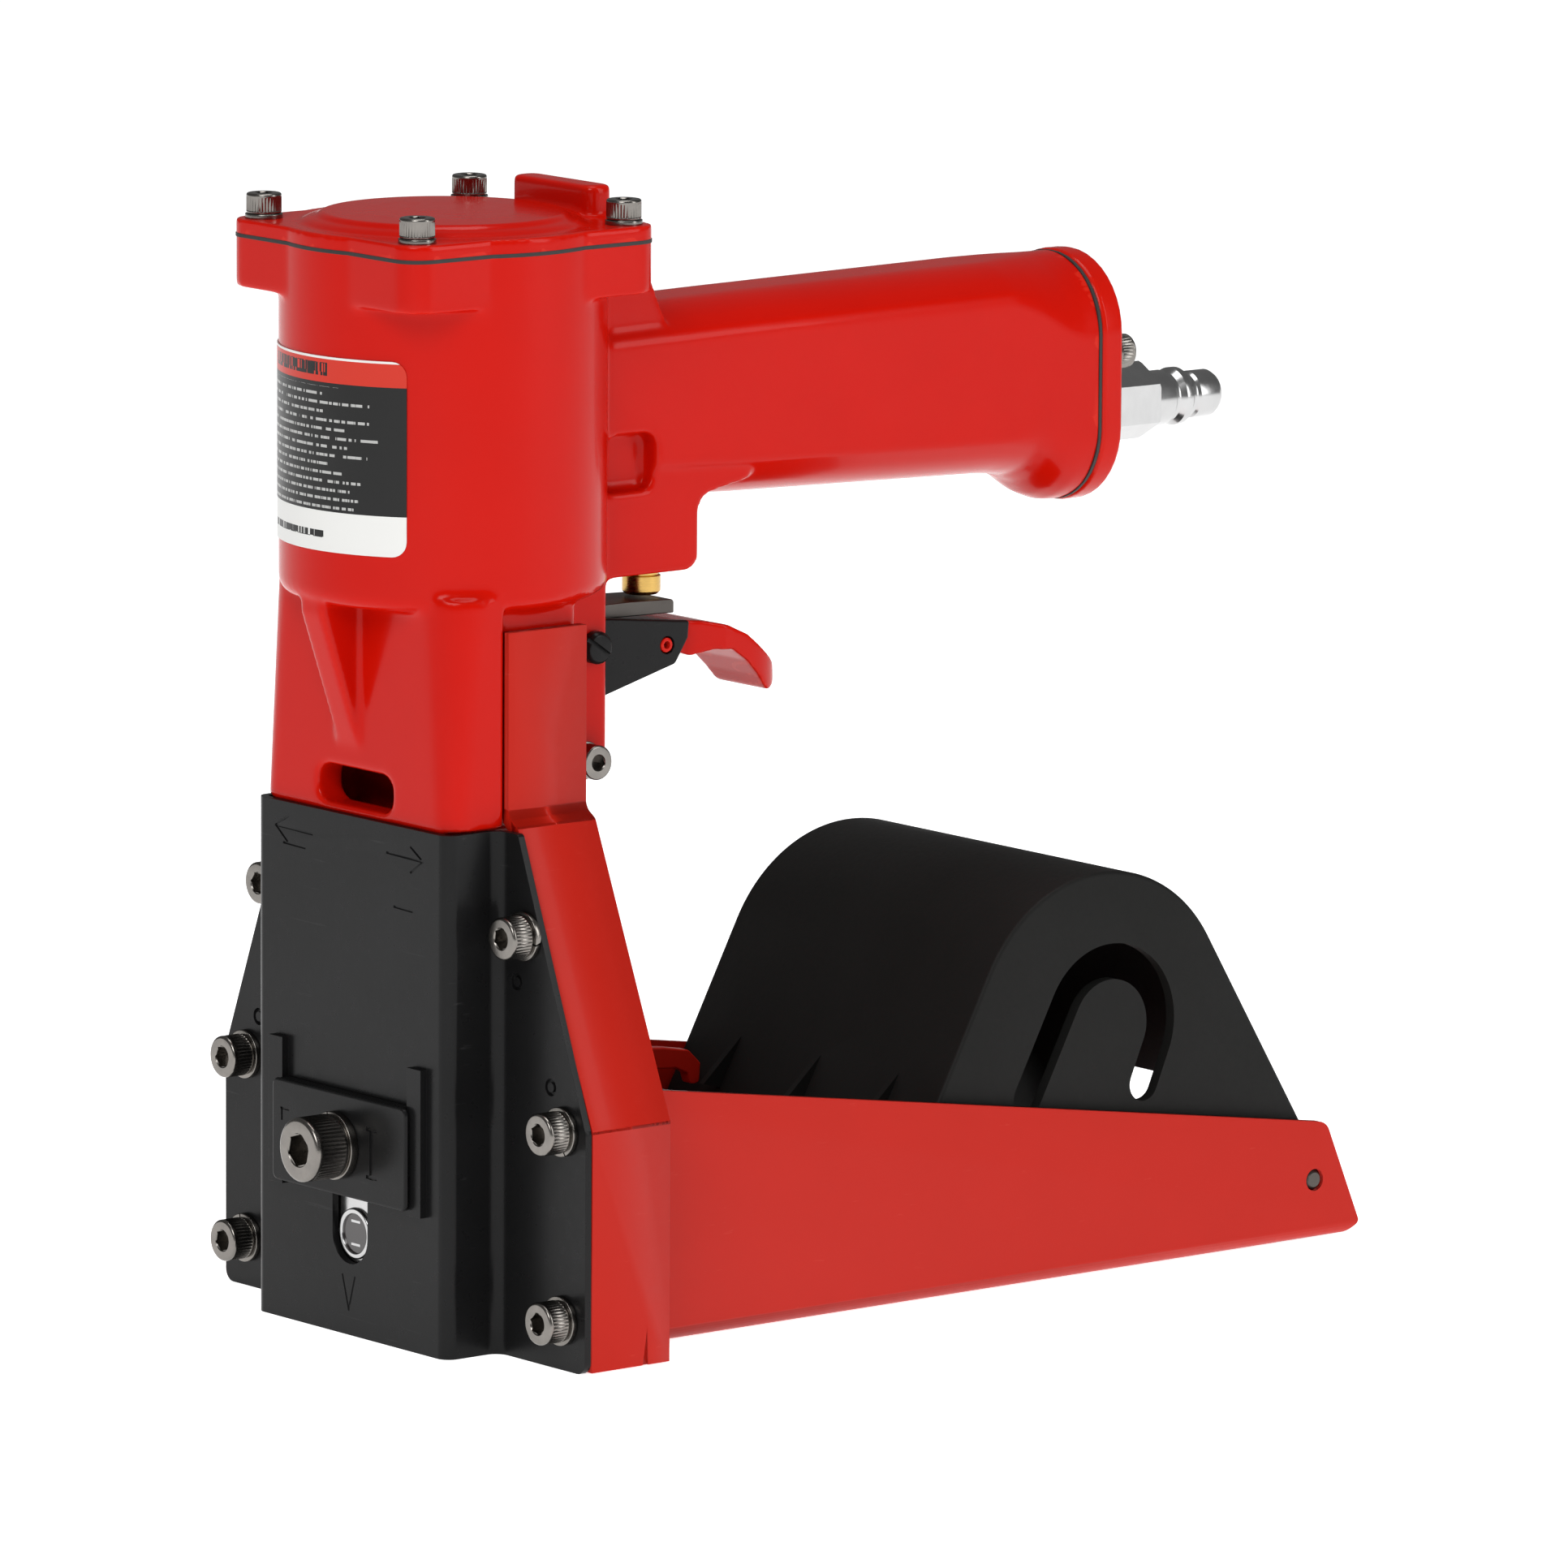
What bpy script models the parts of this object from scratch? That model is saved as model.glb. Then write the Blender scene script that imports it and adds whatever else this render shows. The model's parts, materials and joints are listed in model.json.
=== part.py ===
"""Air-powered carton stapler with a roll magazine, as separate solid parts.

Sizes are in millimetres in the tool's own frame: X = 0 and Y = 0 on the axis of the cylinder, Z = 0
on the sole, +X towards the handle's end. Meshes are made in metres through MM. An empty moves the
whole tool so that the world's origin lies under the middle of its bounding box.
"""

from math import atan2, cos, pi, radians, sin, tan

import bmesh
import bpy
from mathutils import Matrix, Vector

MM = 0.001
GAP = 0.3

# Cylinder and cap.
BARREL_R = 32.6
BARREL_FLOOR_Z = 148.0
FLOOR_THICK = 4.2
BORE_R = 27.5
LUG_X = 25.6
LUG_Y = 25.0
LUG_R = 5.5
LUG_FOOT_Z = 208.3
DECK_Z = 218.0
GASKET_THICK = 0.6
CAP_Z = DECK_Z + GASKET_THICK + 2 * GAP
CAP_TOP_Z = 221.7
CAP_PAD_R = 25.0
CAP_PAD_Z = 224.0
EXHAUST_X = (26.3, 32.8)
EXHAUST_HALF = 13.0
EXHAUST_TOP_Z = 228.0

# Nose column of the casting.
NOSE_HALF = 31.0
NOSE_BACK_X = 12.0
NOSE_STEP_X = -8.5
NOSE_FACE_X = (-22.0, -21.8)
NOSE_FOOT_Z = 98.0
COVER_TOP_Z = 104.9
NOSE_WAIST_HALF = 28.7
NOSE_TONGUE_HALF = 27.5
SPINE_HALF = 28.0
SPINE_Z = (24.0, 100.0)
FIN_Y = (-1.8, 5.6)

# Handle, valve block and ears.
HANDLE_HALF = 16.5
HANDLE_END_X = 155.7
HANDLE_TOP_Z = 204.4
HANDLE_WALL = 4.0
BLOCK_HALF = 15.0
EAR_HALF = 14.0
EAR_THICK = 3.6
PIVOT_X = 27.1
PIVOT_Z = 135.8
FINGER_PIN = (49.1, 133.6)
EAR_SCREW_X = 25.0
EAR_SCREW_Z = 113.2
STEM_X = 50.1
STEM_R = 3.9
STEM_FOOT_Z = 142.9
END_CAP_X = (156.9, 162.3)
END_CAP_HALF = 17.0
END_CAP_Z = (152.8, 204.7)
INLET_Z = 171.5
NIPPLE_END_X = 199.7

# Nose cover, side plates and depth adjuster.
COVER_FACE_X = -23.0
COVER_HALF = 31.5
COVER_SHEET = 1.5
COVER_BEND = 2.8
FLANGE_X = -8.4
SOLE_HALF = 59.2
SHOULDER_Z = 48.3
FLANGE_TOP_HALF = 37.25
SIDE_SHEET = 2.5
SIDE_X = (-8.1, 11.3)
SIDE_TOP_HALF = 31.9
SIDE_TOP_Z = 144.0
COVER_SCREWS = ((52.0, 10.0), (52.0, 47.8), (40.0, 85.1))
PIN_HOLES = ((37.0, 75.5), (48.0, 56.0))
ADJUSTER_Z = (28.7, 49.5)
ADJUSTER_HALF = 22.0
ADJUSTER_TONGUE = 20.2
ADJUSTER_SCREW_Z = 39.0
ADJUSTER_FACE_X = -26.0
WINDOW_HALF = 5.75
WINDOW_Z = (14.5, 48.9)

# Driver, clinchers and their plane.
PISTON_R = 22.1
PISTON_Z = (190.5, 204.0)
DRIVER_HALF = 17.3
DRIVER_THICK = 2.4
DRIVER_TIP_Z = 28.0
CLINCH_Y = 22.0
CLINCH_Z = 40.0

# Tray, canister and feed.
TRAY_HALF = 43.7
TRAY_SHEET = 2.0
TRAY_FRONT_X = 11.7
TRAY_BACK_X = 205.9
CANISTER_HALF = 41.2
CANISTER_SHEET = 2.5
CANISTER_HINGE = (193.5, 12.6)
CANISTER_FRONT = (89.2, 30.0)  # the front slope's lower edge, clear of the lever as it tips
CANISTER_TOE = (92.0, 8.0)  # the side walls' front corner
DRUM_CENTRE = (137.5, 48.9)
DRUM_R = 33.7
SLOT_CENTRE = (139.8, 50.5)
SLOT_R = 13.4
SLOT_WIDTH = 7.4
FEED_AXIS_Z = 34.0
LEVER_PIN = (24.0, 40.0)

# The adjuster screw's head is the tool's front, and the tray's end is its back.
ADJUSTER_HEAD_X = -35.9
FRAME_X = -(ADJUSTER_HEAD_X + TRAY_BACK_X) / 2

# Socket screws: head radius and height, shank radius and length, washer radius and height, key width.
M4 = (3.5, 4.0, 2.0, 12.2, 3.7, 0.9, 3.0)
M4_END = (3.5, 4.0, 2.0, 16.0, 3.7, 0.8, 3.0)
M4_EAR = (3.5, 4.0, 2.0, 28.0, 3.6, 0.1, 3.0)
M5 = (4.25, 5.0, 2.5, 4.4, 4.9, 1.0, 4.0)
M8 = (6.5, 8.0, 3.9, 13.0, 6.8, 1.6, 6.0)

# Colour, roughness and metallic value of each finish.
FINISHES = {
    "red_enamel": ((0.62, 0.022, 0.008), 0.18, 0.0),
    "red_sheet": ((0.54, 0.030, 0.016), 0.32, 0.0),
    "black_sheet": ((0.018, 0.018, 0.020), 0.28, 0.3),
    "black_plastic": ((0.012, 0.012, 0.013), 0.55, 0.0),
    "dark_nickel": ((0.16, 0.15, 0.14), 0.35, 1.0),
    "bright_nickel": ((0.72, 0.72, 0.71), 0.15, 1.0),
    "brass": ((0.55, 0.38, 0.12), 0.25, 1.0),
    "steel": ((0.42, 0.42, 0.42), 0.35, 1.0),
    "aluminium": ((0.62, 0.62, 0.63), 0.30, 1.0),
    "rubber": ((0.02, 0.02, 0.02), 0.70, 0.0),
    "label_film": ((0.80, 0.80, 0.80), 0.40, 0.0),
}


# ---------------------------------------------------------------- scene and materials


def clear_scene():
    """Removes every object that the file opened with."""
    for obj in list(bpy.data.objects):
        bpy.data.objects.remove(obj, do_unlink=True)


def finish_of(kind, name):
    """A Principled material of one finish, owned by one part."""
    colour, roughness, metallic = FINISHES[kind]
    material = bpy.data.materials.new(name)
    material.use_nodes = True
    shader = material.node_tree.nodes["Principled BSDF"]
    shader.inputs["Base Color"].default_value = (*colour, 1.0)
    shader.inputs["Roughness"].default_value = roughness
    shader.inputs["Metallic"].default_value = metallic
    return material


def object_of(name, bm):
    """Makes an object of a bmesh, after mending doubles and turning its faces outwards."""
    bmesh.ops.remove_doubles(bm, verts=bm.verts, dist=1e-7)
    bmesh.ops.recalc_face_normals(bm, faces=bm.faces)
    mesh = bpy.data.meshes.new(name)
    bm.to_mesh(mesh)
    bm.free()
    obj = bpy.data.objects.new(name, mesh)
    bpy.context.scene.collection.objects.link(obj)
    return obj


def part(obj, name, finish, frame, origin=(0.0, 0.0, 0.0)):
    """Names a finished solid, gives it its finish and its origin, and hangs it on the frame."""
    obj.name = name
    obj.data.name = name
    obj.data.materials.clear()
    obj.data.materials.append(finish_of(finish, name))
    place = Vector(origin) * MM
    obj.data.transform(Matrix.Translation(-place))
    obj.location = place
    obj.data.shade_smooth()
    obj.data.set_sharp_from_angle(angle=radians(32))
    obj.parent = frame
    return obj


# ---------------------------------------------------------------- outlines


def arc(centre, radius, start, end, steps):
    """Points on an arc, angles in degrees, both ends included."""
    turn = radians(end - start)
    return [
        (
            centre[0] + radius * cos(radians(start) + turn * i / steps),
            centre[1] + radius * sin(radians(start) + turn * i / steps),
        )
        for i in range(steps + 1)
    ]


def circle(centre, radius, steps=32):
    """A closed round outline."""
    return arc(centre, radius, 0, 360, steps)[:-1]


def rounded(corners, steps=4):
    """An outline of (u, v, radius) corners, each replaced by its arc."""
    points = []
    for i, (u, v, radius) in enumerate(corners):
        here = Vector((u, v))
        before = Vector(corners[i - 1][:2])
        after = Vector(corners[(i + 1) % len(corners)][:2])
        if radius <= 0:
            points.append((u, v))
            continue
        to_before = (before - here).normalized()
        to_after = (after - here).normalized()
        half = to_before.angle(to_after) / 2
        centre = here + (to_before + to_after).normalized() * radius / sin(half)
        first = here + to_before * radius / tan(half)
        last = here + to_after * radius / tan(half)
        start = atan2(*(first - centre).yx)
        turn = (atan2(*(last - centre).yx) - start + pi) % (2 * pi) - pi
        for k in range(steps + 1):
            angle = start + turn * k / steps
            points.append((centre.x + radius * cos(angle), centre.y + radius * sin(angle)))
    return points


def rounded_box(u, v, radius, steps=4):
    """A rounded rectangle between u = (low, high) and v = (low, high)."""
    corners = ((u[0], v[0]), (u[1], v[0]), (u[1], v[1]), (u[0], v[1]))
    return rounded([(*corner, radius) for corner in corners], steps)


def offset_path(path, distance):
    """An open path moved sideways, to its left, by a distance."""
    moved = []
    for i, point in enumerate(path):
        here = Vector(point)
        runs = []
        if i > 0:
            runs.append((here - Vector(path[i - 1])).normalized())
        if i < len(path) - 1:
            runs.append((Vector(path[i + 1]) - here).normalized())
        sides = [Vector((-run.y, run.x)) for run in runs]
        side = sum(sides, Vector((0.0, 0.0))).normalized()
        moved.append(tuple(here + side * distance / side.dot(sides[0])))
    return moved


# ---------------------------------------------------------------- solids

AXES = {
    "X": lambda u, v, w: Vector((w, u, v)),
    "Y": lambda u, v, w: Vector((u, w, v)),
    "Z": lambda u, v, w: Vector((u, v, w)),
}


def prism(outline, axis, span):
    """An outline pulled along an axis: (y, z) for X, (x, z) for Y, (x, y) for Z."""
    place = AXES[axis]
    bm = bmesh.new()
    corners = [bm.verts.new(place(u, v, span[0]) * MM) for u, v in outline]
    face = bm.faces.new(corners)
    pulled = bmesh.ops.extrude_face_region(bm, geom=[face])["geom"]
    move = (place(0, 0, span[1]) - place(0, 0, span[0])) * MM
    bmesh.ops.translate(bm, verts=[v for v in pulled if isinstance(v, bmesh.types.BMVert)], vec=move)
    return object_of("prism", bm)


def box(x, y, z):
    """A plain block between three pairs of limits."""
    return prism([(x[0], y[0]), (x[1], y[0]), (x[1], y[1]), (x[0], y[1])], "Z", z)


def turned(profile, centre, axis, steps=32):
    """A closed profile of (radius, height) points spun round an axis through centre."""
    turn = {"X": Matrix.Rotation(pi / 2, 4, "Y"), "Y": Matrix.Rotation(-pi / 2, 4, "X"), "Z": Matrix()}[axis]
    bm = bmesh.new()
    corners = [bm.verts.new((r * MM, 0.0, h * MM)) for r, h in profile]
    for i, corner in enumerate(corners):
        other = corners[(i + 1) % len(corners)]
        if max(profile[i][0], profile[(i + 1) % len(corners)][0]) > 0:
            bm.edges.new((corner, other))
    geometry = bm.verts[:] + bm.edges[:]
    bmesh.ops.spin(bm, geom=geometry, axis=(0, 0, 1), angle=2 * pi, steps=steps, use_merge=True)
    bmesh.ops.transform(bm, matrix=Matrix.Translation(Vector(centre) * MM) @ turn, verts=bm.verts)
    return object_of("turned", bm)


def rod(radius, span, centre, axis, steps=24):
    """A plain cylinder along an axis, between two coordinates on it."""
    low, high = span
    place = list(centre)
    place["XYZ".index(axis)] = 0.0
    return turned([(0, low), (radius, low), (radius, high), (0, high)], place, axis, steps)


def tube(outer, inner, span, centre, axis, steps=32):
    """A plain ring along an axis."""
    low, high = span
    place = list(centre)
    place["XYZ".index(axis)] = 0.0
    return turned([(inner, low), (outer, low), (outer, high), (inner, high)], place, axis, steps)


def loft(loops):
    """A closed skin over loops of 3D points that all have the same count."""
    bm = bmesh.new()
    rings = []
    for loop in loops:
        corners = [bm.verts.new(Vector(point) * MM) for point in loop]
        rings.append([bm.edges.new((corners[i - 1], corners[i])) for i in range(len(corners))])
    for first, second in zip(rings, rings[1:]):
        bmesh.ops.bridge_loops(bm, edges=first + second)
    bmesh.ops.holes_fill(bm, edges=rings[0] + rings[-1])
    return object_of("loft", bm)


def coil(radius, wire, span, turns, centre, axis="Z", steps=8, sides=4):
    """A compression spring whose wire follows a helix along an axis."""
    low, high = span[0] + wire, span[1] - wire
    turn = {"X": Matrix.Rotation(pi / 2, 4, "Y"), "Z": Matrix()}[axis]
    loops = []
    for i in range(turns * steps + 1):
        angle = 2 * pi * i / steps
        height = low + (high - low) * i / (turns * steps)
        spoke = Vector((cos(angle), sin(angle), 0.0))
        loop = []
        for k in range(sides):
            round_wire = 2 * pi * k / sides
            out = spoke * (radius + wire * cos(round_wire))
            up = Vector((0, 0, height + wire * sin(round_wire)))
            loop.append(turn @ (out + up) + Vector(centre))
        loops.append(loop)
    return loft(loops)


def combine(target, others, operation):
    """Applies a Boolean of each other solid to the target, and removes the others."""
    for other in others:
        modifier = target.modifiers.new(operation.lower(), "BOOLEAN")
        modifier.operation = operation
        modifier.solver = "EXACT"
        modifier.object = other
        graph = bpy.context.evaluated_depsgraph_get()
        mesh = bpy.data.meshes.new_from_object(target.evaluated_get(graph))
        target.modifiers.clear()
        target.data = mesh
        bpy.data.objects.remove(other, do_unlink=True)
    return target


def join(target, *others):
    """The target with the other solids added to it."""
    return combine(target, others, "UNION")


def cut(target, *others):
    """The target with the other solids taken away from it."""
    return combine(target, others, "DIFFERENCE")


def common(target, *others):
    """What the target shares with the other solids."""
    return combine(target, others, "INTERSECT")


def both_sides(make):
    """Calls make with +1 and with -1, and returns the two results."""
    return [make(side) for side in (1, -1)]


def four_corners():
    """The places of the cap screws, front right first."""
    return [(sx * LUG_X, sy * LUG_Y) for sx in (-1, 1) for sy in (-1, 1)]


# ---------------------------------------------------------------- casting


def barrel():
    """The cylinder's outside, with its rounded foot and the square deck that holds the cap screws."""
    fillet = 3.0
    foot = arc((BARREL_R - fillet, BARREL_FLOOR_Z + fillet), fillet, -90, 0, 4)
    body = turned([(0, BARREL_FLOOR_Z), *foot, (BARREL_R, DECK_Z), (0, DECK_Z)], (0, 0, 0), "Z", 40)
    reach_x = LUG_X + LUG_R
    reach_y = LUG_Y + LUG_R
    deck = rounded_box((-reach_x, reach_x), (-reach_y, reach_y), LUG_R, 5)
    return join(body, prism(deck, "Z", (LUG_FOOT_Z, DECK_Z)))


def nose_section(z, face_x, corner):
    """The nose column's outline at one height, as 3D points."""
    outline = rounded(
        [
            (face_x, -NOSE_HALF, corner),
            (NOSE_STEP_X, -NOSE_HALF, 0),
            (NOSE_STEP_X, -NOSE_WAIST_HALF, 0),
            (NOSE_BACK_X, -NOSE_WAIST_HALF, 2.0),
            (NOSE_BACK_X, NOSE_WAIST_HALF, 2.0),
            (NOSE_STEP_X, NOSE_WAIST_HALF, 0),
            (NOSE_STEP_X, NOSE_HALF, 0),
            (face_x, NOSE_HALF, corner),
        ],
        5,
    )
    return [(x, y, z) for x, y in outline]


def nose():
    """The column between barrel and cover: square below, rounded where it meets the barrel."""
    column = loft(
        [
            nose_section(COVER_TOP_Z + GAP, NOSE_FACE_X[0], 4.5),
            nose_section(BARREL_FLOOR_Z + 2.0, NOSE_FACE_X[1], 9.0),
        ]
    )
    depth = (COVER_FACE_X + COVER_SHEET + 0.6, NOSE_BACK_X - 1.0)
    width = (-NOSE_TONGUE_HALF, NOSE_TONGUE_HALF)
    tongue = box(depth, width, (NOSE_FOOT_Z, COVER_TOP_Z + 3.0))
    hollow = box((-15.5, -3.8), (-24.0, 24.0), (NOSE_FOOT_Z - 5.0, 139.0))
    slot = prism(rounded_box((-12.25, 12.25), (106.5, 114.1), 3.4), "X", (-25.0, -12.0))
    return cut(join(column, tongue), hollow, slot)


def fin():
    """The gusset under the barrel's front overhang."""
    outline = [(-19.0, 151.0), (-31.2, 151.0), (-31.2, 146.5), (-21.6, 117.5), (-19.0, 116.5)]
    return prism(outline, "Y", FIN_Y)


def spine():
    """The guide behind the driver, with a rail on each side of the driver's groove."""
    rail = 18.2
    outline = [
        (9.0, -SPINE_HALF),
        (9.0, SPINE_HALF),
        (-1.7, SPINE_HALF),
        (-1.7, rail),
        (1.8, rail),
        (1.8, -rail),
        (-1.7, -rail),
        (-1.7, -SPINE_HALF),
    ]
    return prism(outline, "Z", SPINE_Z)


def handle_section(x, low, high):
    """A stadium across the handle at one station."""
    half = HANDLE_HALF
    outline = arc((0, high - half), half, 0, 180, 10) + arc((0, low + half), half, 180, 360, 10)
    return [(x, y, z) for y, z in outline]


def handle():
    """The grip, with the flare under its end that takes the lower end-cap screw."""
    stations = (
        (30.0, 164.0, 202.6),
        (68.0, 162.3, 203.2),
        (138.0, 160.3, 204.2),
        (143.0, 159.2, HANDLE_TOP_Z),
        (147.5, 155.8, HANDLE_TOP_Z),
        (151.0, 153.4, HANDLE_TOP_Z),
        (HANDLE_END_X, 152.8, HANDLE_TOP_Z),
    )
    return loft([handle_section(*station) for station in stations])


def valve_block():
    """The block between cylinder and handle that carries the trigger valve."""
    outline = rounded(
        [
            (15.0, BARREL_FLOOR_Z + 1.3, 0),
            (53.0, BARREL_FLOOR_Z + 1.3, 2.5),
            (53.0, 164.0, 4.0),
            (64.0, 166.5, 0),
            (64.0, 190.0, 0),
            (46.5, 195.5, 3.0),
            (39.8, 210.4, 2.0),
            (15.0, 210.4, 0),
        ]
    )
    return prism(outline, "Y", (-BLOCK_HALF, BLOCK_HALF))


def ear(side):
    """One of the two cheeks that hold the trigger."""
    outline = rounded(
        [
            (8.0, BARREL_FLOOR_Z + 3.0, 0),
            (30.6, BARREL_FLOOR_Z + 3.0, 0),
            (30.6, 109.0, 5.5),
            (17.0, 108.8, 6.0),
            (8.0, 116.0, 0),
        ]
    )
    faces = sorted((side * EAR_HALF, side * (EAR_HALF - EAR_THICK)))
    return prism(outline, "Y", faces)


def air_space():
    """The air chamber in the handle, its passage to the cylinder and the trigger valve's bore."""
    half = HANDLE_HALF - HANDLE_WALL
    chamber = arc((0, 200.0 - half), half, 0, 180, 8) + arc((0, 166.5 + half), half, 180, 360, 8)
    front = prism(chamber, "X", (44.0, 141.0))
    narrow = prism(rounded_box((-8.7, 8.7), (164.0, 199.5), 5.0), "X", (140.0, 170.0))
    passage = box((22.0, 50.0), (-8.0, 8.0), (186.0, 198.0))
    valve = rod(5.8, (140.0, 175.0), (STEM_X, 0, 0), "Z")
    return [front, narrow, passage, valve]


def casting_holes():
    """Threaded and clear holes for the screws and pins."""
    holes = [rod(2.35, (209.4, 230.0), (x, y, 0), "Z", 10) for x, y in four_corners()]
    holes += [rod(2.35, (143.0, 160.0), (0, y, z), "X", 12) for y, z in end_cap_screw_places()]
    holes.append(rod(2.3, (-20, 20), (PIVOT_X, 0, PIVOT_Z), "Y", 16))
    holes.append(rod(2.3, (-20, 20), (EAR_SCREW_X, 0, EAR_SCREW_Z), "Y", 16))
    holes += both_sides(lambda side: rod(2.8, (-5.0, 1.3), (0, side * CLINCH_Y, CLINCH_Z), "X", 16))
    return holes


def side_recess(side):
    """The pocket in the valve block's flank."""
    outline = rounded_box((28.5, 41.0), (166.4, 178.0), 1.5, 2)
    return prism(outline, "Y", sorted((side * (BLOCK_HALF - 3.0), side * (BLOCK_HALF + 3.0))))


def body_housing(frame):
    """The main casting: barrel, nose, spine, valve block, ears and handle in one piece."""
    casting = join(barrel(), nose(), fin(), spine(), valve_block(), handle(), *both_sides(ear))
    bore = rod(BORE_R, (BARREL_FLOOR_Z + FLOOR_THICK, 230.0), (0, 0, 0), "Z", 32)
    driver_slot = box((-1.8, 1.8), (-9.5, 9.5), (NOSE_FOOT_Z - 1.0, 160.0))
    cut(casting, bore, driver_slot, *air_space(), *both_sides(side_recess), *casting_holes())
    return part(casting, "body_housing", "red_enamel", frame)


# ---------------------------------------------------------------- cylinder, cap and piston


def deck_outline(inset):
    """The rounded square of the deck, joined with the barrel's circle."""
    reach_x = LUG_X + LUG_R - inset
    reach_y = LUG_Y + LUG_R - inset
    return rounded_box((-reach_x, reach_x), (-reach_y, reach_y), LUG_R - inset, 5)


def cap_gasket(frame):
    """The flat seal between the deck and the cap."""
    low, high = DECK_Z + GAP, DECK_Z + GAP + GASKET_THICK
    seal = prism(deck_outline(0.2), "Z", (low, high))
    join(seal, rod(BARREL_R - 0.2, (low - 0.01, high + 0.01), (0, 0, 0), "Z", 40))
    cut(seal, rod(26.0, (210, 230), (0, 0, 0), "Z", 32))
    cut(seal, *[rod(2.5, (210, 230), (x, y, 0), "Z", 8) for x, y in four_corners()])
    return part(seal, "cap_gasket", "rubber", frame)


def cylinder_cap(frame):
    """The cap with its raised round pad and the exhaust block at its back."""
    cap = prism(deck_outline(0.0), "Z", (CAP_Z, CAP_TOP_Z))
    join(cap, rod(BARREL_R, (CAP_Z - 0.01, CAP_TOP_Z + 0.01), (0, 0, 0), "Z", 40))
    step = CAP_PAD_R + 2.0
    crown = [(0, CAP_Z + 1.5), (step, CAP_Z + 1.5), (step, CAP_TOP_Z + 0.6)]
    crown += [(CAP_PAD_R, CAP_TOP_Z + 1.2), (CAP_PAD_R - 1.0, CAP_PAD_Z), (0, CAP_PAD_Z)]
    dome = turned(crown, (0, 0, 0), "Z", 32)
    block = rounded_box(EXHAUST_X, (-EXHAUST_HALF, EXHAUST_HALF), 2.5)
    exhaust = prism(block, "Z", (CAP_Z + 1.0, EXHAUST_TOP_Z))
    join(cap, dome, exhaust)
    cut(cap, rod(18.0, (CAP_Z - 2.0, CAP_Z + 3.2), (0, 0, 0), "Z", 24))
    cut(cap, *[rod(2.35, (210, 235), (x, y, 0), "Z", 10) for x, y in four_corners()])
    cut(cap, *[box((30.5, 36.0), (y - 3.0, y + 3.0), (223.5, 226.3)) for y in (-8.0, 0.0, 8.0)])
    return part(cap, "cylinder_cap", "red_enamel", frame)


def hexagon(across, centre=(0.0, 0.0)):
    """A hexagon's corners, from its width across flats."""
    return circle(centre, across / 2 / cos(pi / 6), 6)


def cap_head(head_r, head_h, shank_r, shank_l, washer_r, washer_h, key):
    """A socket screw's profile with its washer, from the washer's foot up, and its hexagon socket."""
    top = washer_h + head_h
    profile = [
        (0, -shank_l),
        (shank_r, -shank_l),
        (shank_r, 0),
        (washer_r, 0),
        (washer_r, washer_h),
        (head_r, washer_h),
        (head_r, top),
        (0, top),
    ]
    socket = hexagon(key)
    return profile, socket, top


def socket_screw(sizes, seat, direction, steps=14):
    """A socket screw standing on seat, its head pointing along direction."""
    profile, socket, top = cap_head(*sizes)
    screw = turned(profile, (0, 0, 0), "Z", steps)
    cut(screw, prism(socket, "Z", (top - 0.55 * sizes[1], top + 1.0)))
    turn = Vector((0, 0, 1)).rotation_difference(Vector(direction)).to_matrix().to_4x4()
    screw.data.transform(Matrix.Translation(Vector(seat) * MM) @ turn)
    return screw


def cap_screws(frame):
    """Four M4 screws that hold the cap."""
    for i, (x, y) in enumerate(four_corners()):
        screw = socket_screw(M4, (x, y, CAP_TOP_Z + GAP), (0, 0, 1))
        part(screw, f"cap_screw_{i + 1}", "dark_nickel", frame)


def cylinder_sleeve(frame):
    """The liner that the piston runs in."""
    span = (BARREL_FLOOR_Z + FLOOR_THICK + GAP, 206.0)
    part(tube(27.1, 22.5, span, (0, 0, 0), "Z", 32), "cylinder_sleeve", "aluminium", frame)


def bumper(frame):
    """The ring that stops the piston."""
    span = (BARREL_FLOOR_Z + FLOOR_THICK + GAP, 161.6)
    part(tube(22.1, 9.6, span, (0, 0, 0), "Z"), "bumper", "rubber", frame)


def piston(frame):
    """The piston with its ring groove and the slot that the driver hangs in."""
    low, high = PISTON_Z
    groove = (196.0, 198.6)
    root = 20.0
    profile = [(0, low), (PISTON_R, low), (PISTON_R, groove[0]), (root, groove[0])]
    profile += [(root, groove[1]), (PISTON_R, groove[1]), (PISTON_R, high), (0, high)]
    body = turned(profile, (0, 0, 0), "Z", 28)
    cut(body, box((-1.6, 1.6), (-8.6, 8.6), (low - 1.0, low + 6.3)))
    part(body, "piston", "aluminium", frame, (0, 0, high))


def piston_ring(frame):
    """The seal in the piston's groove."""
    ring = tube(22.3, 20.3, (196.3, 198.3), (0, 0, 0), "Z", 28)
    part(ring, "piston_ring", "rubber", frame, (0, 0, PISTON_Z[1]))


def driver_blade(frame):
    """The flat driver: a narrow shank through the cylinder's floor and a wide foot for the staple."""
    shank = 8.2
    outline = [
        (-DRIVER_HALF, DRIVER_TIP_Z),
        (DRIVER_HALF, DRIVER_TIP_Z),
        (DRIVER_HALF, 90.0),
        (shank, 96.5),
        (shank, PISTON_Z[0] + 6.0),
        (-shank, PISTON_Z[0] + 6.0),
        (-shank, 96.5),
        (-DRIVER_HALF, 90.0),
    ]
    blade = prism(outline, "X", (-DRIVER_THICK / 2, DRIVER_THICK / 2))
    part(blade, "driver_blade", "steel", frame, (0, 0, DRIVER_TIP_Z))


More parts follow.
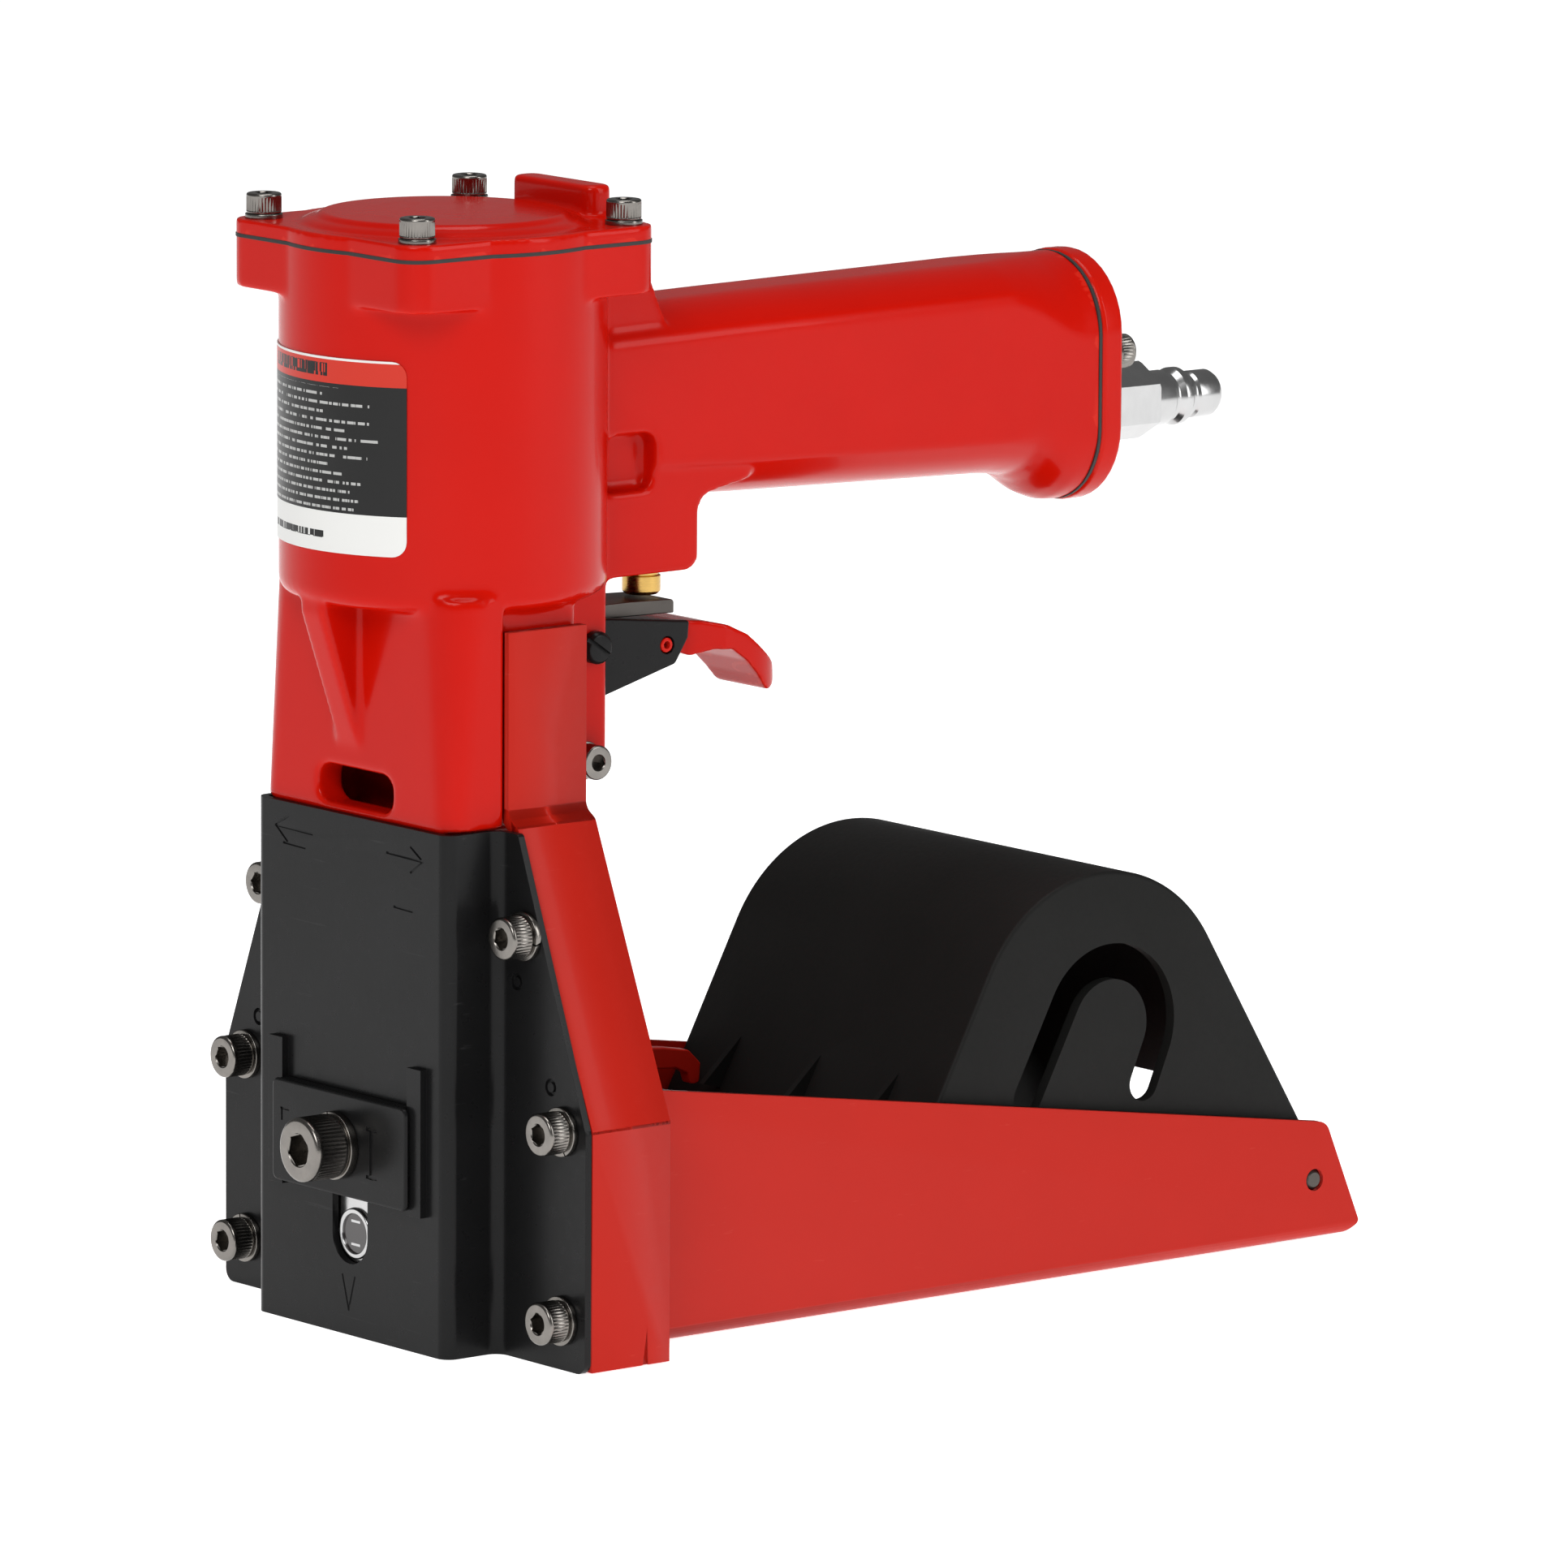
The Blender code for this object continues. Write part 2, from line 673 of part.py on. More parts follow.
def head_valve(frame):
    """The disc that closes the liner's top until the trigger vents it."""
    profile = [(0, 206.4), (25.5, 206.4), (25.5, 210.0), (11.0, 211.0)]
    profile += [(11.0, 214.0), (6.0, 214.0), (6.0, 209.0), (0, 209.0)]
    part(turned(profile, (0, 0, 0), "Z", 24), "head_valve", "black_plastic", frame, (0, 0, 206.4))


def head_valve_spring(frame):
    """The spring that keeps the head valve on the liner."""
    part(coil(14.0, 0.8, (211.4, CAP_Z + 2.8), 3, (0, 0, 0)), "head_valve_spring", "steel", frame)


# ---------------------------------------------------------------- nose cover and side plates


def silhouette(inset, low, radius):
    """The front view's outline of the cover's flanges."""
    half = SOLE_HALF - inset
    top = FLANGE_TOP_HALF - inset
    return rounded(
        [
            (-half, low, radius),
            (half, low, radius),
            (half, SHOULDER_Z, 0),
            (top, COVER_TOP_Z, 0.8),
            (-top, COVER_TOP_Z, 0.8),
            (-half, SHOULDER_Z, 0),
        ]
    )


def front_cover(frame):
    """The hat-shaped sheet cover over the clinchers, with its window and its adjuster guides."""
    face, half, sheet = COVER_FACE_X, COVER_HALF, COVER_SHEET
    flange, bend = FLANGE_X, COVER_BEND
    hat = rounded(
        [
            (flange, -70, 0),
            (flange, -half + sheet, bend + sheet),
            (face + sheet, -half + sheet, bend - sheet),
            (face + sheet, half - sheet, bend - sheet),
            (flange, half - sheet, bend + sheet),
            (flange, 70, 0),
            (flange - sheet, 70, 0),
            (flange - sheet, half, bend),
            (face, half, bend),
            (face, -half, bend),
            (flange - sheet, -half, bend),
            (flange - sheet, -70, 0),
        ]
    )
    cover = prism(hat, "Z", (0.0, COVER_TOP_Z + 5))
    common(cover, prism(silhouette(0.0, 0.0, 2.5), "X", (-40.0, 5.0)))
    window = rounded_box((-WINDOW_HALF, WINDOW_HALF), WINDOW_Z, WINDOW_HALF - 0.05, 6)
    cut(cover, prism(window, "X", (-30.0, -18.5)))
    for side in (1, -1):
        ridge = sorted((side * (ADJUSTER_TONGUE + GAP), side * 25.0))
        join(cover, box((face - 1.5, face + 0.6), ridge, (27.8, 57.5)))
        cut(cover, *[rod(2.9, (-15.0, 0.0), (0, side * y, z), "X", 12) for y, z in COVER_SCREWS])
        cut(cover, *[rod(1.2, (-15.0, 0.0), (0, side * y, z), "X", 8) for y, z in PIN_HOLES])
    part(cover, "front_cover", "black_sheet", frame)


def side_path(side):
    """The side plate's outside, seen from the front, from the top down."""
    shelf = arc((39.4, 112.5), 7.5, 180, 228, 4)
    points = [(SIDE_TOP_HALF, SIDE_TOP_Z), *shelf, (SOLE_HALF, SHOULDER_Z), (SOLE_HALF, GAP)]
    return [(side * y, z) for y, z in points]


def side_plate(frame, side, name):
    """A folded cheek: the side wall and the front flange that the cover is screwed to."""
    path = side_path(side)
    inner = offset_path(path, -side * SIDE_SHEET)
    wall = prism(path + inner[::-1], "X", SIDE_X)
    edge = [point for point in path if point[1] < 105.5]
    root = [(side * 33.5, GAP), (side * 33.5, edge[0][1])]
    join(wall, prism(edge + root, "X", (SIDE_X[0] + 0.01, SIDE_X[0] + SIDE_SHEET)))
    cut(wall, *[rod(2.8, (-12.0, 0.0), (0, side * y, z), "X", 12) for y, z in COVER_SCREWS])
    part(wall, name, "red_sheet", frame)


def cover_screws(frame):
    """Three M5 screws on each flange."""
    number = 0
    for side in (1, -1):
        for y, z in COVER_SCREWS:
            number += 1
            seat = (FLANGE_X - COVER_SHEET - GAP, side * y, z)
            part(socket_screw(M5, seat, (-1, 0, 0)), f"cover_screw_{number}", "dark_nickel", frame)


def clincher_plate(frame):
    """The steel plate that holds the clinchers' pins, behind the cover."""
    plate = prism(rounded_box((-32.8, 32.8), (3.0, 97.0), 4.0), "X", (-8.1, -5.6))
    cut(plate, *both_sides(lambda side: rod(2.8, (-12.0, 0.0), (0, side * CLINCH_Y, CLINCH_Z), "X", 16)))
    cut(plate, prism(rounded_box((-7.0, 7.0), (30.0, 60.0), 3.0), "X", (-12.0, 0.0)))
    part(plate, "clincher_plate", "steel", frame)


def clincher(frame, side, name):
    """A curved arm whose tip swings down and in under the board to bend a staple leg."""
    corners = [
        (15.5, 47.0, 4.0),
        (30.0, 48.0, 5.0),
        (50.0, 30.0, 6.0),
        (55.6, 14.0, 4.0),
        (54.8, 3.2, 0.4),
        (51.6, 4.6, 1.0),
        (46.5, 14.0, 4.0),
        (36.0, 26.5, 6.0),
        (26.0, 33.0, 3.0),
        (15.5, 33.5, 4.0),
    ]
    arm = prism([(side * y, z) for y, z in rounded(corners, 3)], "X", (-5.2, -2.2))
    cut(arm, rod(2.8, (-8.0, 0.0), (0, side * CLINCH_Y, CLINCH_Z), "X", 16))
    part(arm, name, "steel", frame, (0, side * CLINCH_Y, CLINCH_Z))


def clincher_pin(frame, side, name):
    """A clincher's fixed pin, from the clincher plate into the spine."""
    part(rod(2.5, (-9.4, 0.9), (0, side * CLINCH_Y, CLINCH_Z), "X", 16), name, "steel", frame)


def adjuster_section(x, inset):
    """The adjuster block's outline at one depth, as 3D points."""
    low, high = ADJUSTER_Z
    half = ADJUSTER_HALF - inset
    outline = rounded_box((-half, half), (low + inset, high - inset), 1.5, 2)
    return [(x, y, z) for y, z in outline]


def adjuster_plate(frame):
    """The block that the depth screw clamps to the cover."""
    face = ADJUSTER_FACE_X
    ledge = COVER_FACE_X - 1.5 - GAP
    bevel = 0.9
    sections = ((ledge, 0.0), (face + bevel, 0.0), (face, bevel))
    plate = loft([adjuster_section(x, inset) for x, inset in sections])
    tongue = box((ledge - 0.2, COVER_FACE_X - GAP), (-ADJUSTER_TONGUE, ADJUSTER_TONGUE), ADJUSTER_Z)
    join(plate, tongue)
    cut(plate, rod(4.3, (-30.0, -15.0), (0, 0, ADJUSTER_SCREW_Z), "X", 20))
    part(plate, "adjuster_plate", "black_sheet", frame, (0, 0, ADJUSTER_SCREW_Z))


def adjuster_screw(frame):
    """The M8 screw that holds the adjuster where it is set."""
    screw = socket_screw(M8, (ADJUSTER_FACE_X - GAP, 0, ADJUSTER_SCREW_Z), (-1, 0, 0), 20)
    part(screw, "adjuster_screw", "dark_nickel", frame, (0, 0, ADJUSTER_SCREW_Z))


def adjuster_slider(frame):
    """The inner plate, threaded for the screw, whose rim shows in the cover's window."""
    front = COVER_FACE_X + COVER_SHEET + GAP
    plate = prism(rounded_box((-14.0, 14.0), (8.0, 58.0), 3.0), "X", (front, front + 2.0))
    cut(plate, rod(4.2, (-25.0, -10.0), (0, 0, ADJUSTER_SCREW_Z), "X", 16))
    rim = tube(5.0, 3.9, (front - 0.8, front + 0.5), (0, 0, 20.5), "X", 16)
    part(join(plate, rim), "adjuster_slider", "bright_nickel", frame, (0, 0, ADJUSTER_SCREW_Z))


# ---------------------------------------------------------------- trigger


def trigger_lever(frame):
    """The pressed channel between the ears, open at its top."""
    outline = rounded(
        [
            (21.5, 141.0, 4.0),
            (34.5, 140.3, 0),
            (51.6, 138.4, 0),
            (54.9, 138.1, 0.6),
            (54.6, 134.6, 0),
            (51.4, 129.6, 1.5),
            (28.0, 123.3, 3.0),
            (21.5, 128.0, 3.0),
        ],
        3,
    )
    lever = prism(outline, "Y", (-9.8, 9.8))
    cut(lever, prism([(15.0, 160.0), (15.0, 121.4), (65.0, 134.7), (65.0, 160.0)], "Y", (-8.1, 8.1)))
    cut(lever, rod(2.3, (-15, 15), (PIVOT_X, 0, PIVOT_Z), "Y", 16))
    cut(lever, rod(1.8, (-15, 15), (FINGER_PIN[0], 0, FINGER_PIN[1]), "Y", 12))
    part(lever, "trigger_lever", "black_sheet", frame, (PIVOT_X, 0, PIVOT_Z))


def trigger_finger(frame):
    """The hooked finger piece that is pinned into the lever."""
    corners = [
        (44.5, 138.0, 1.5),
        (54.0, 137.9, 0),
        (60.0, 137.3, 0),
        (65.5, 136.1, 0),
        (70.4, 133.8, 0),
        (75.0, 130.2, 0),
        (78.5, 126.2, 0),
        (79.3, 123.5, 1.0),
        (76.6, 122.6, 1.2),
        (73.6, 124.9, 0),
        (70.2, 128.4, 0),
        (66.6, 131.0, 0),
        (62.2, 131.3, 0),
        (56.8, 130.4, 0),
        (51.5, 132.4, 0),
        (44.5, 130.6, 1.5),
    ]
    finger = prism(rounded(corners, 3), "Y", (-7.4, 7.4))
    cut(finger, rod(1.8, (-15, 15), (FINGER_PIN[0], 0, FINGER_PIN[1]), "Y", 12))
    part(finger, "trigger_finger", "red_enamel", frame, (PIVOT_X, 0, PIVOT_Z))


def trigger_pin(frame):
    """The spring pin through lever and finger."""
    pin = rod(1.5, (-9.7, 9.7), (FINGER_PIN[0], 0, FINGER_PIN[1]), "Y", 12)
    part(pin, "trigger_pin", "red_enamel", frame, (PIVOT_X, 0, PIVOT_Z))


def trigger_plate(frame):
    """The steel strip in the lever's top that lifts the valve stem."""
    outline = rounded(
        [
            (22.6, 142.6, 2.0),
            (42.0, 142.6, 0),
            (53.3, 142.2, 0.8),
            (53.3, 139.4, 0),
            (32.0, 139.8, 1.0),
            (31.5, 133.0, 2.5),
            (22.6, 133.0, 2.5),
        ],
        3,
    )
    plate = prism(outline, "Y", (-6.6, 6.6))
    cut(plate, rod(2.3, (-15, 15), (PIVOT_X, 0, PIVOT_Z), "Y", 16))
    part(plate, "trigger_plate", "steel", frame, (PIVOT_X, 0, PIVOT_Z))


def trigger_pivot_screw(frame):
    """The slotted screw that the trigger turns on."""
    profile = [(0, -13.8), (2.0, -13.8), (2.0, 14.3), (3.3, 14.3), (3.3, 15.6), (2.6, 16.5), (0, 16.5)]
    head = turned(profile, (PIVOT_X, 0, PIVOT_Z), "Y", 20)
    head.data.transform(Matrix.Diagonal((1, -1, 1, 1)))
    head.data.flip_normals()
    slot = box((-5.0, 5.0), (-17.5, -15.4), (-0.5, 0.5))
    tilt = Matrix.Translation(Vector((PIVOT_X, 0, PIVOT_Z)) * MM) @ Matrix.Rotation(radians(35), 4, "Y")
    slot.data.transform(tilt)
    part(cut(head, slot), "trigger_pivot_screw", "black_sheet", frame)


def ear_screw(frame):
    """The socket screw across the ears, under the trigger."""
    screw = socket_screw(M4_EAR, (EAR_SCREW_X, -EAR_HALF - GAP, EAR_SCREW_Z), (0, -1, 0))
    part(screw, "ear_screw", "dark_nickel", frame)


def valve_bush(frame):
    """The trigger valve's brass housing, inside the valve block."""
    bush = tube(5.5, 4.2, (BARREL_FLOOR_Z + 1.6, 166.0), (STEM_X, 0, 0), "Z", 24)
    part(bush, "valve_bush", "brass", frame)


def valve_stem(frame):
    """The stem that the trigger lifts."""
    shoulder, top = 161.0, 164.5
    profile = [(0, STEM_FOOT_Z), (STEM_R - 0.5, STEM_FOOT_Z), (STEM_R, STEM_FOOT_Z + 0.5)]
    profile += [(STEM_R, shoulder), (2.2, shoulder), (2.2, top), (0, top)]
    stem = turned(profile, (STEM_X, 0, 0), "Z", 24)
    part(stem, "valve_stem", "brass", frame, (STEM_X, 0, STEM_FOOT_Z))


def valve_spring(frame):
    """The spring that returns the stem."""
    part(coil(3.3, 0.4, (161.3, 173.6), 5, (STEM_X, 0, 0), "Z"), "valve_spring", "steel", frame)


# ---------------------------------------------------------------- handle end and air inlet


def end_cap_screw_places():
    """(y, z) of the three screws in the handle's end."""
    return ((11.6, 184.0), (-11.6, 184.0), (0.0, 158.2))


def end_section(inset):
    """The handle end's stadium, in (y, z)."""
    half = END_CAP_HALF - inset
    low, high = END_CAP_Z[0] + inset, END_CAP_Z[1] - inset
    return arc((0, high - half), half, 0, 180, 10) + arc((0, low + half), half, 180, 360, 10)


def end_cap(frame):
    """The plate that closes the handle and takes the air inlet."""
    front, back = END_CAP_X
    lip = 1.2
    sections = ((front, 0.0), (back - lip, 0.0), (back - 0.35, 0.5), (back, lip))
    plate = loft([[(x, y, z) for y, z in end_section(inset)] for x, inset in sections])
    cut(plate, rod(6.6, (150.0, 170.0), (0, 0, INLET_Z), "X", 24))
    cut(plate, *[rod(2.35, (150.0, 170.0), (0, y, z), "X", 12) for y, z in end_cap_screw_places()])
    part(plate, "end_cap", "red_enamel", frame)


def end_cap_gasket(frame):
    """The seal behind the end cap."""
    span = (HANDLE_END_X + GAP, END_CAP_X[0] - GAP)
    seal = prism(end_section(0.4), "X", span)
    cut(seal, prism(rounded_box((-8.7, 8.7), (164.5, 199.0), 5.0), "X", (150.0, 170.0)))
    cut(seal, *[rod(2.5, (150.0, 170.0), (0, y, z), "X", 12) for y, z in end_cap_screw_places()])
    part(seal, "end_cap_gasket", "rubber", frame)


def end_cap_screws(frame):
    """Three M4 screws in the end cap."""
    for i, (y, z) in enumerate(end_cap_screw_places()):
        screw = socket_screw(M4_END, (END_CAP_X[1] + GAP, y, z), (1, 0, 0), 16)
        part(screw, f"end_cap_screw_{i + 1}", "dark_nickel", frame)


def air_nipple(frame):
    """The quick-coupling plug: hexagon, neck, locking ring and tip, bored through."""
    profile = [
        (2.6, 152.0),
        (6.2, 152.0),
        (6.2, 164.0),
        (5.7, 164.0),
        (5.7, 186.4),
        (5.1, 187.0),
        (5.1, 188.0),
        (6.0, 189.1),
        (6.0, 190.7),
        (4.5, 192.2),
        (4.5, 193.2),
        (4.9, 193.8),
        (4.9, NIPPLE_END_X - 1.0),
        (4.3, NIPPLE_END_X),
        (3.3, NIPPLE_END_X),
        (2.6, NIPPLE_END_X - 0.8),
    ]
    body = turned(profile, (0, 0, INLET_Z), "X", 20)
    across, hex_end = 14.0, 181.0
    corners = [(z, y) for y, z in hexagon(across)]
    nut = prism([(y, INLET_Z + z) for y, z in corners], "X", (END_CAP_X[1] + GAP, hex_end))
    cone = [(0, 150.0), (9.6, 150.0), (9.6, hex_end - 1.6), (7.2, hex_end + 0.1), (0, hex_end + 0.1)]
    common(nut, turned(cone, (0, 0, INLET_Z), "X", 24))
    cut(nut, rod(4.0, (150.0, 190.0), (0, 0, INLET_Z), "X", 24))
    part(join(body, nut), "air_nipple", "bright_nickel", frame)


def inlet_filter(frame):
    """The sintered strainer cup in the handle, in front of the inlet."""
    profile = [(0, 130.0), (5.5, 130.0), (7.6, 151.5), (5.6, 151.5), (3.9, 132.0), (0, 132.0)]
    part(turned(profile, (0, 0, INLET_Z + 4.0), "X", 20), "inlet_filter", "brass", frame)


def label(frame):
    """The film wrapped round the cylinder's front."""
    inner, outer = BARREL_R + 0.15, BARREL_R + 0.45
    start, end = 180.0 - 50.0, 180.0 + 40.0
    outline = arc((0, 0), outer, start, end, 18) + arc((0, 0), inner, end, start, 18)
    part(prism(outline, "Z", (159.2, 197.8)), "label", "label_film", frame)


# ---------------------------------------------------------------- tray, canister and feed


def tray(frame):
    """The folded sheet tray: floor, two side panels and the front flange at the nose."""
    side = rounded(
        [
            (TRAY_FRONT_X, 0.0, 0),
            (TRAY_BACK_X - 2.9, 0.0, 0),
            (TRAY_BACK_X, 2.4, 0),
            (196.6, 24.4, 2.0),
            (22.0, 51.0, 0),
            (TRAY_FRONT_X, 52.6, 0),
        ]
    )
    body = prism(side, "Y", (-TRAY_HALF, TRAY_HALF))
    inner = TRAY_HALF - TRAY_SHEET
    cut(body, box((TRAY_FRONT_X + TRAY_SHEET, 220.0), (-inner, inner), (TRAY_SHEET, 70.0)))
    cut(body, box((185.0, 220.0), (-inner, inner), (-5.0, 10.0)))
    join(body, box((TRAY_FRONT_X + 0.01, TRAY_FRONT_X + TRAY_SHEET), (-56.2, 56.2), (0.5, 46.0)))
    cut(body, box((5.0, 20.0), (-20.0, 20.0), (TRAY_SHEET, 23.0)))
    cut(body, rod(2.3, (-60, 60), (CANISTER_HINGE[0], 0, CANISTER_HINGE[1]), "Y", 16))
    cut(body, rod(2.3, (30, 60), (LEVER_PIN[0], 0, LEVER_PIN[1]), "Y", 16))
    cut(body, rod(7.6, (0.0, 20.0), (0, 0, FEED_AXIS_Z), "X", 24))
    part(body, "tray", "red_sheet", frame)


def canister_outline():
    """The canister's side view: sloped front, drum top, sloped back down to the hinge."""
    drum = arc(DRUM_CENTRE, DRUM_R, 151.9, 29.5, 18)
    return [CANISTER_TOE, CANISTER_FRONT, *drum, (199.0, 13.0), (196.0, 8.0)]


def canister_room():
    """The canister's hollow in side view. It is open below, and at the toe for the strip."""
    front = (CANISTER_FRONT[0] + 3.4, CANISTER_FRONT[1] + 1.0)
    drum = arc(DRUM_CENTRE, DRUM_R - CANISTER_SHEET, 151.9, 29.5, 18)
    mouth = [(80.0, -5.0), (80.0, front[1])]
    return [*mouth, front, *drum, (196.1, 13.0), (195.6, -5.0)]


def j_slot():
    """The hook-shaped opening in the canister's ends, round the roll's hub."""
    half = SLOT_WIDTH / 2
    outer = arc(SLOT_CENTRE, SLOT_R + half, 152, -28, 12)
    end = arc(SLOT_CENTRE, SLOT_R, -28, -28, 1)[0]
    tip = arc(end, half, -28, -208, 6)
    inner = arc(SLOT_CENTRE, SLOT_R - half, -28, 152, 12)
    leg = radians(242)
    reach = 21.0
    inner_foot = (inner[-1][0] + reach * cos(leg), inner[-1][1] + reach * sin(leg))
    outer_foot = (outer[0][0] + reach * cos(leg), outer[0][1] + reach * sin(leg))
    return outer + tip[1:-1] + inner + [inner_foot, outer_foot]


def canister(frame):
    """The roll canister, open below, which tips back on the pin at the tray's end."""
    shell = prism(canister_outline(), "Y", (-CANISTER_HALF, CANISTER_HALF))
    inner = CANISTER_HALF - CANISTER_SHEET
    cut(shell, prism(canister_room(), "Y", (-inner, inner)))
    cut(shell, prism(j_slot(), "Y", (-60, 60)))
    cut(shell, rod(2.35, (-60, 60), (CANISTER_HINGE[0], 0, CANISTER_HINGE[1]), "Y", 16))
    part(shell, "canister", "black_plastic", frame, (CANISTER_HINGE[0], 0, CANISTER_HINGE[1]))


def canister_pin(frame):
    """The canister's hinge pin, across the tray's end."""
    pin = rod(2.0, (-43.6, 43.6), (CANISTER_HINGE[0], 0, CANISTER_HINGE[1]), "Y", 16)
    part(pin, "canister_pin", "steel", frame)


def feed_track(frame):
    """The folded rail that the staple strip rides on."""
    out, sheet, foot, top = 15.0, 2.0, 2.3, 18.0
    outline = [(-out, foot), (-out, top), (out, top), (out, foot)]
    inner = out - sheet
    outline += [(inner, foot), (inner, top - sheet), (-inner, top - sheet), (-inner, foot)]
    part(prism(outline, "X", (2.3, 82.0)), "feed_track", "steel", frame)


def feed_cylinder(frame):
    """The small air cylinder that advances the strip."""
    profile = [(5.4, 14.2), (7.2, 14.2), (7.2, 15.0), (10.0, 15.0), (10.0, 50.0)]
    profile += [(3.2, 50.0), (3.2, 47.5), (7.0, 47.5), (7.0, 17.0), (5.4, 17.0)]
    part(turned(profile, (0, 0, FEED_AXIS_Z), "X", 20), "feed_cylinder", "aluminium", frame)


def feed_piston(frame):
    """The feed cylinder's piston and rod."""
    z = FEED_AXIS_Z
    profile = [(0, 19.0), (6.7, 19.0), (6.7, 25.0), (2.6, 25.0), (2.6, 62.0), (0, 62.0)]
    part(turned(profile, (0, 0, z), "X", 16), "feed_piston", "steel", frame, (25.0, 0, z))


def feed_spring(frame):
    """The spring that drives the feed piston forward."""
    part(coil(4.6, 0.5, (25.4, 47.2), 6, (0, 0, FEED_AXIS_Z), "X"), "feed_spring", "steel", frame)


def feed_pawl(frame):
    """The pawl on the piston's rod that hooks behind a staple."""
    z = FEED_AXIS_Z
    top = [(54.0, z + 6, 2), (61.0, z + 6, 2), (61.0, z - 7, 1)]
    hook = [(54.5, 18.6, 0.4), (51.5, 18.6, 0), (54.0, z - 8, 0)]
    pawl = prism(rounded(top + hook, 2), "Y", (-9.0, 9.0))
    cut(pawl, rod(2.9, (40.0, 70.0), (0, 0, z), "X", 20))
    part(pawl, "feed_pawl", "steel", frame, (61.0, 0, z))


def loading_lever(frame):
    """The hooked lever beside the track that holds the strip's guide down."""
    x, z = LEVER_PIN
    corners = [
        (x - 5.5, z + 5.0, 4.5),
        (44.0, 45.6, 0),
        (80.0, 42.2, 0),
        (86.5, 41.0, 0),
        (89.6, 38.0, 0),
        (89.3, 33.8, 0.9),
        (87.0, 33.8, 0.9),
        (86.2, 36.2, 0),
        (83.0, 37.6, 0),
        (44.0, 40.4, 0),
        (x + 5.0, z - 5.0, 3.0),
        (x - 5.5, z - 5.0, 4.5),
    ]
    lever = prism(rounded(corners, 3), "Y", (29.5, 32.5))
    cut(lever, rod(2.3, (20, 40), (x, 0, z), "Y", 16))
    part(lever, "loading_lever", "red_sheet", frame, (x, 0, z))


def loading_lever_pin(frame):
    """The lever's pin in the tray's side panel."""
    x, z = LEVER_PIN
    head = [(0, 28.0), (3.2, 28.0), (3.2, 29.2), (2.0, 29.2), (2.0, 32.8), (3.2, 32.8)]
    profile = head + [(3.2, 41.4), (2.0, 41.4), (2.0, 43.6), (0, 43.6)]
    part(turned(profile, (x, 0, z), "Y", 16), "loading_lever_pin", "steel", frame)


# ---------------------------------------------------------------- assembly


def build_cylinder(frame):
    """Everything between the casting's bore and the cap."""
    for make in (cap_gasket, cylinder_cap, cap_screws, cylinder_sleeve, bumper, label):
        make(frame)
    for make in (piston, piston_ring, driver_blade, head_valve, head_valve_spring):
        make(frame)


def build_nose(frame):
    """The cover, the side plates, the clinchers and the depth adjuster."""
    for make in (front_cover, cover_screws, clincher_plate):
        make(frame)
    for make in (adjuster_plate, adjuster_screw, adjuster_slider):
        make(frame)
    for side, hand in ((1, "left"), (-1, "right")):
        side_plate(frame, side, f"side_plate_{hand}")
        clincher(frame, side, f"clincher_{hand}")
        clincher_pin(frame, side, f"clincher_pin_{hand}")


def build_trigger(frame):
    """The trigger and its valve."""
    for make in (trigger_lever, trigger_finger, trigger_pin, trigger_plate):
        make(frame)
    for make in (trigger_pivot_screw, ear_screw, valve_bush, valve_stem, valve_spring):
        make(frame)


def build_inlet(frame):
    """The handle's end and the air inlet."""
    for make in (end_cap, end_cap_gasket, end_cap_screws, air_nipple, inlet_filter):
        make(frame)


def build_magazine(frame):
    """The tray, the canister and the strip feed."""
    for make in (tray, canister, canister_pin, loading_lever, loading_lever_pin):
        make(frame)
    for make in (feed_track, feed_cylinder, feed_piston, feed_spring, feed_pawl):
        make(frame)


def main():
    """Builds every part of the stapler under one empty."""
    clear_scene()
    frame = bpy.data.objects.new("stapler_frame", None)
    frame.location = (FRAME_X * MM, 0.0, 0.0)
    bpy.context.scene.collection.objects.link(frame)
    body_housing(frame)
    build_cylinder(frame)
    build_nose(frame)
    build_trigger(frame)
    build_inlet(frame)
    build_magazine(frame)


main()
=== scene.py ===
"""Visual model of an air-powered carton stapler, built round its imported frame.

Sizes are in millimetres in the tool's own axes: X = 0 and Y = 0 on the cylinder's axis, Z = 0 on
the sole, +X towards the handle's end. Solid.deliver moves each piece into the row frame, in metres.
"""

import json
import logging
import math
from dataclasses import dataclass
from enum import Enum
from typing import Iterable, Sequence, Union

import bmesh
import bpy
from mathutils import Matrix, Vector


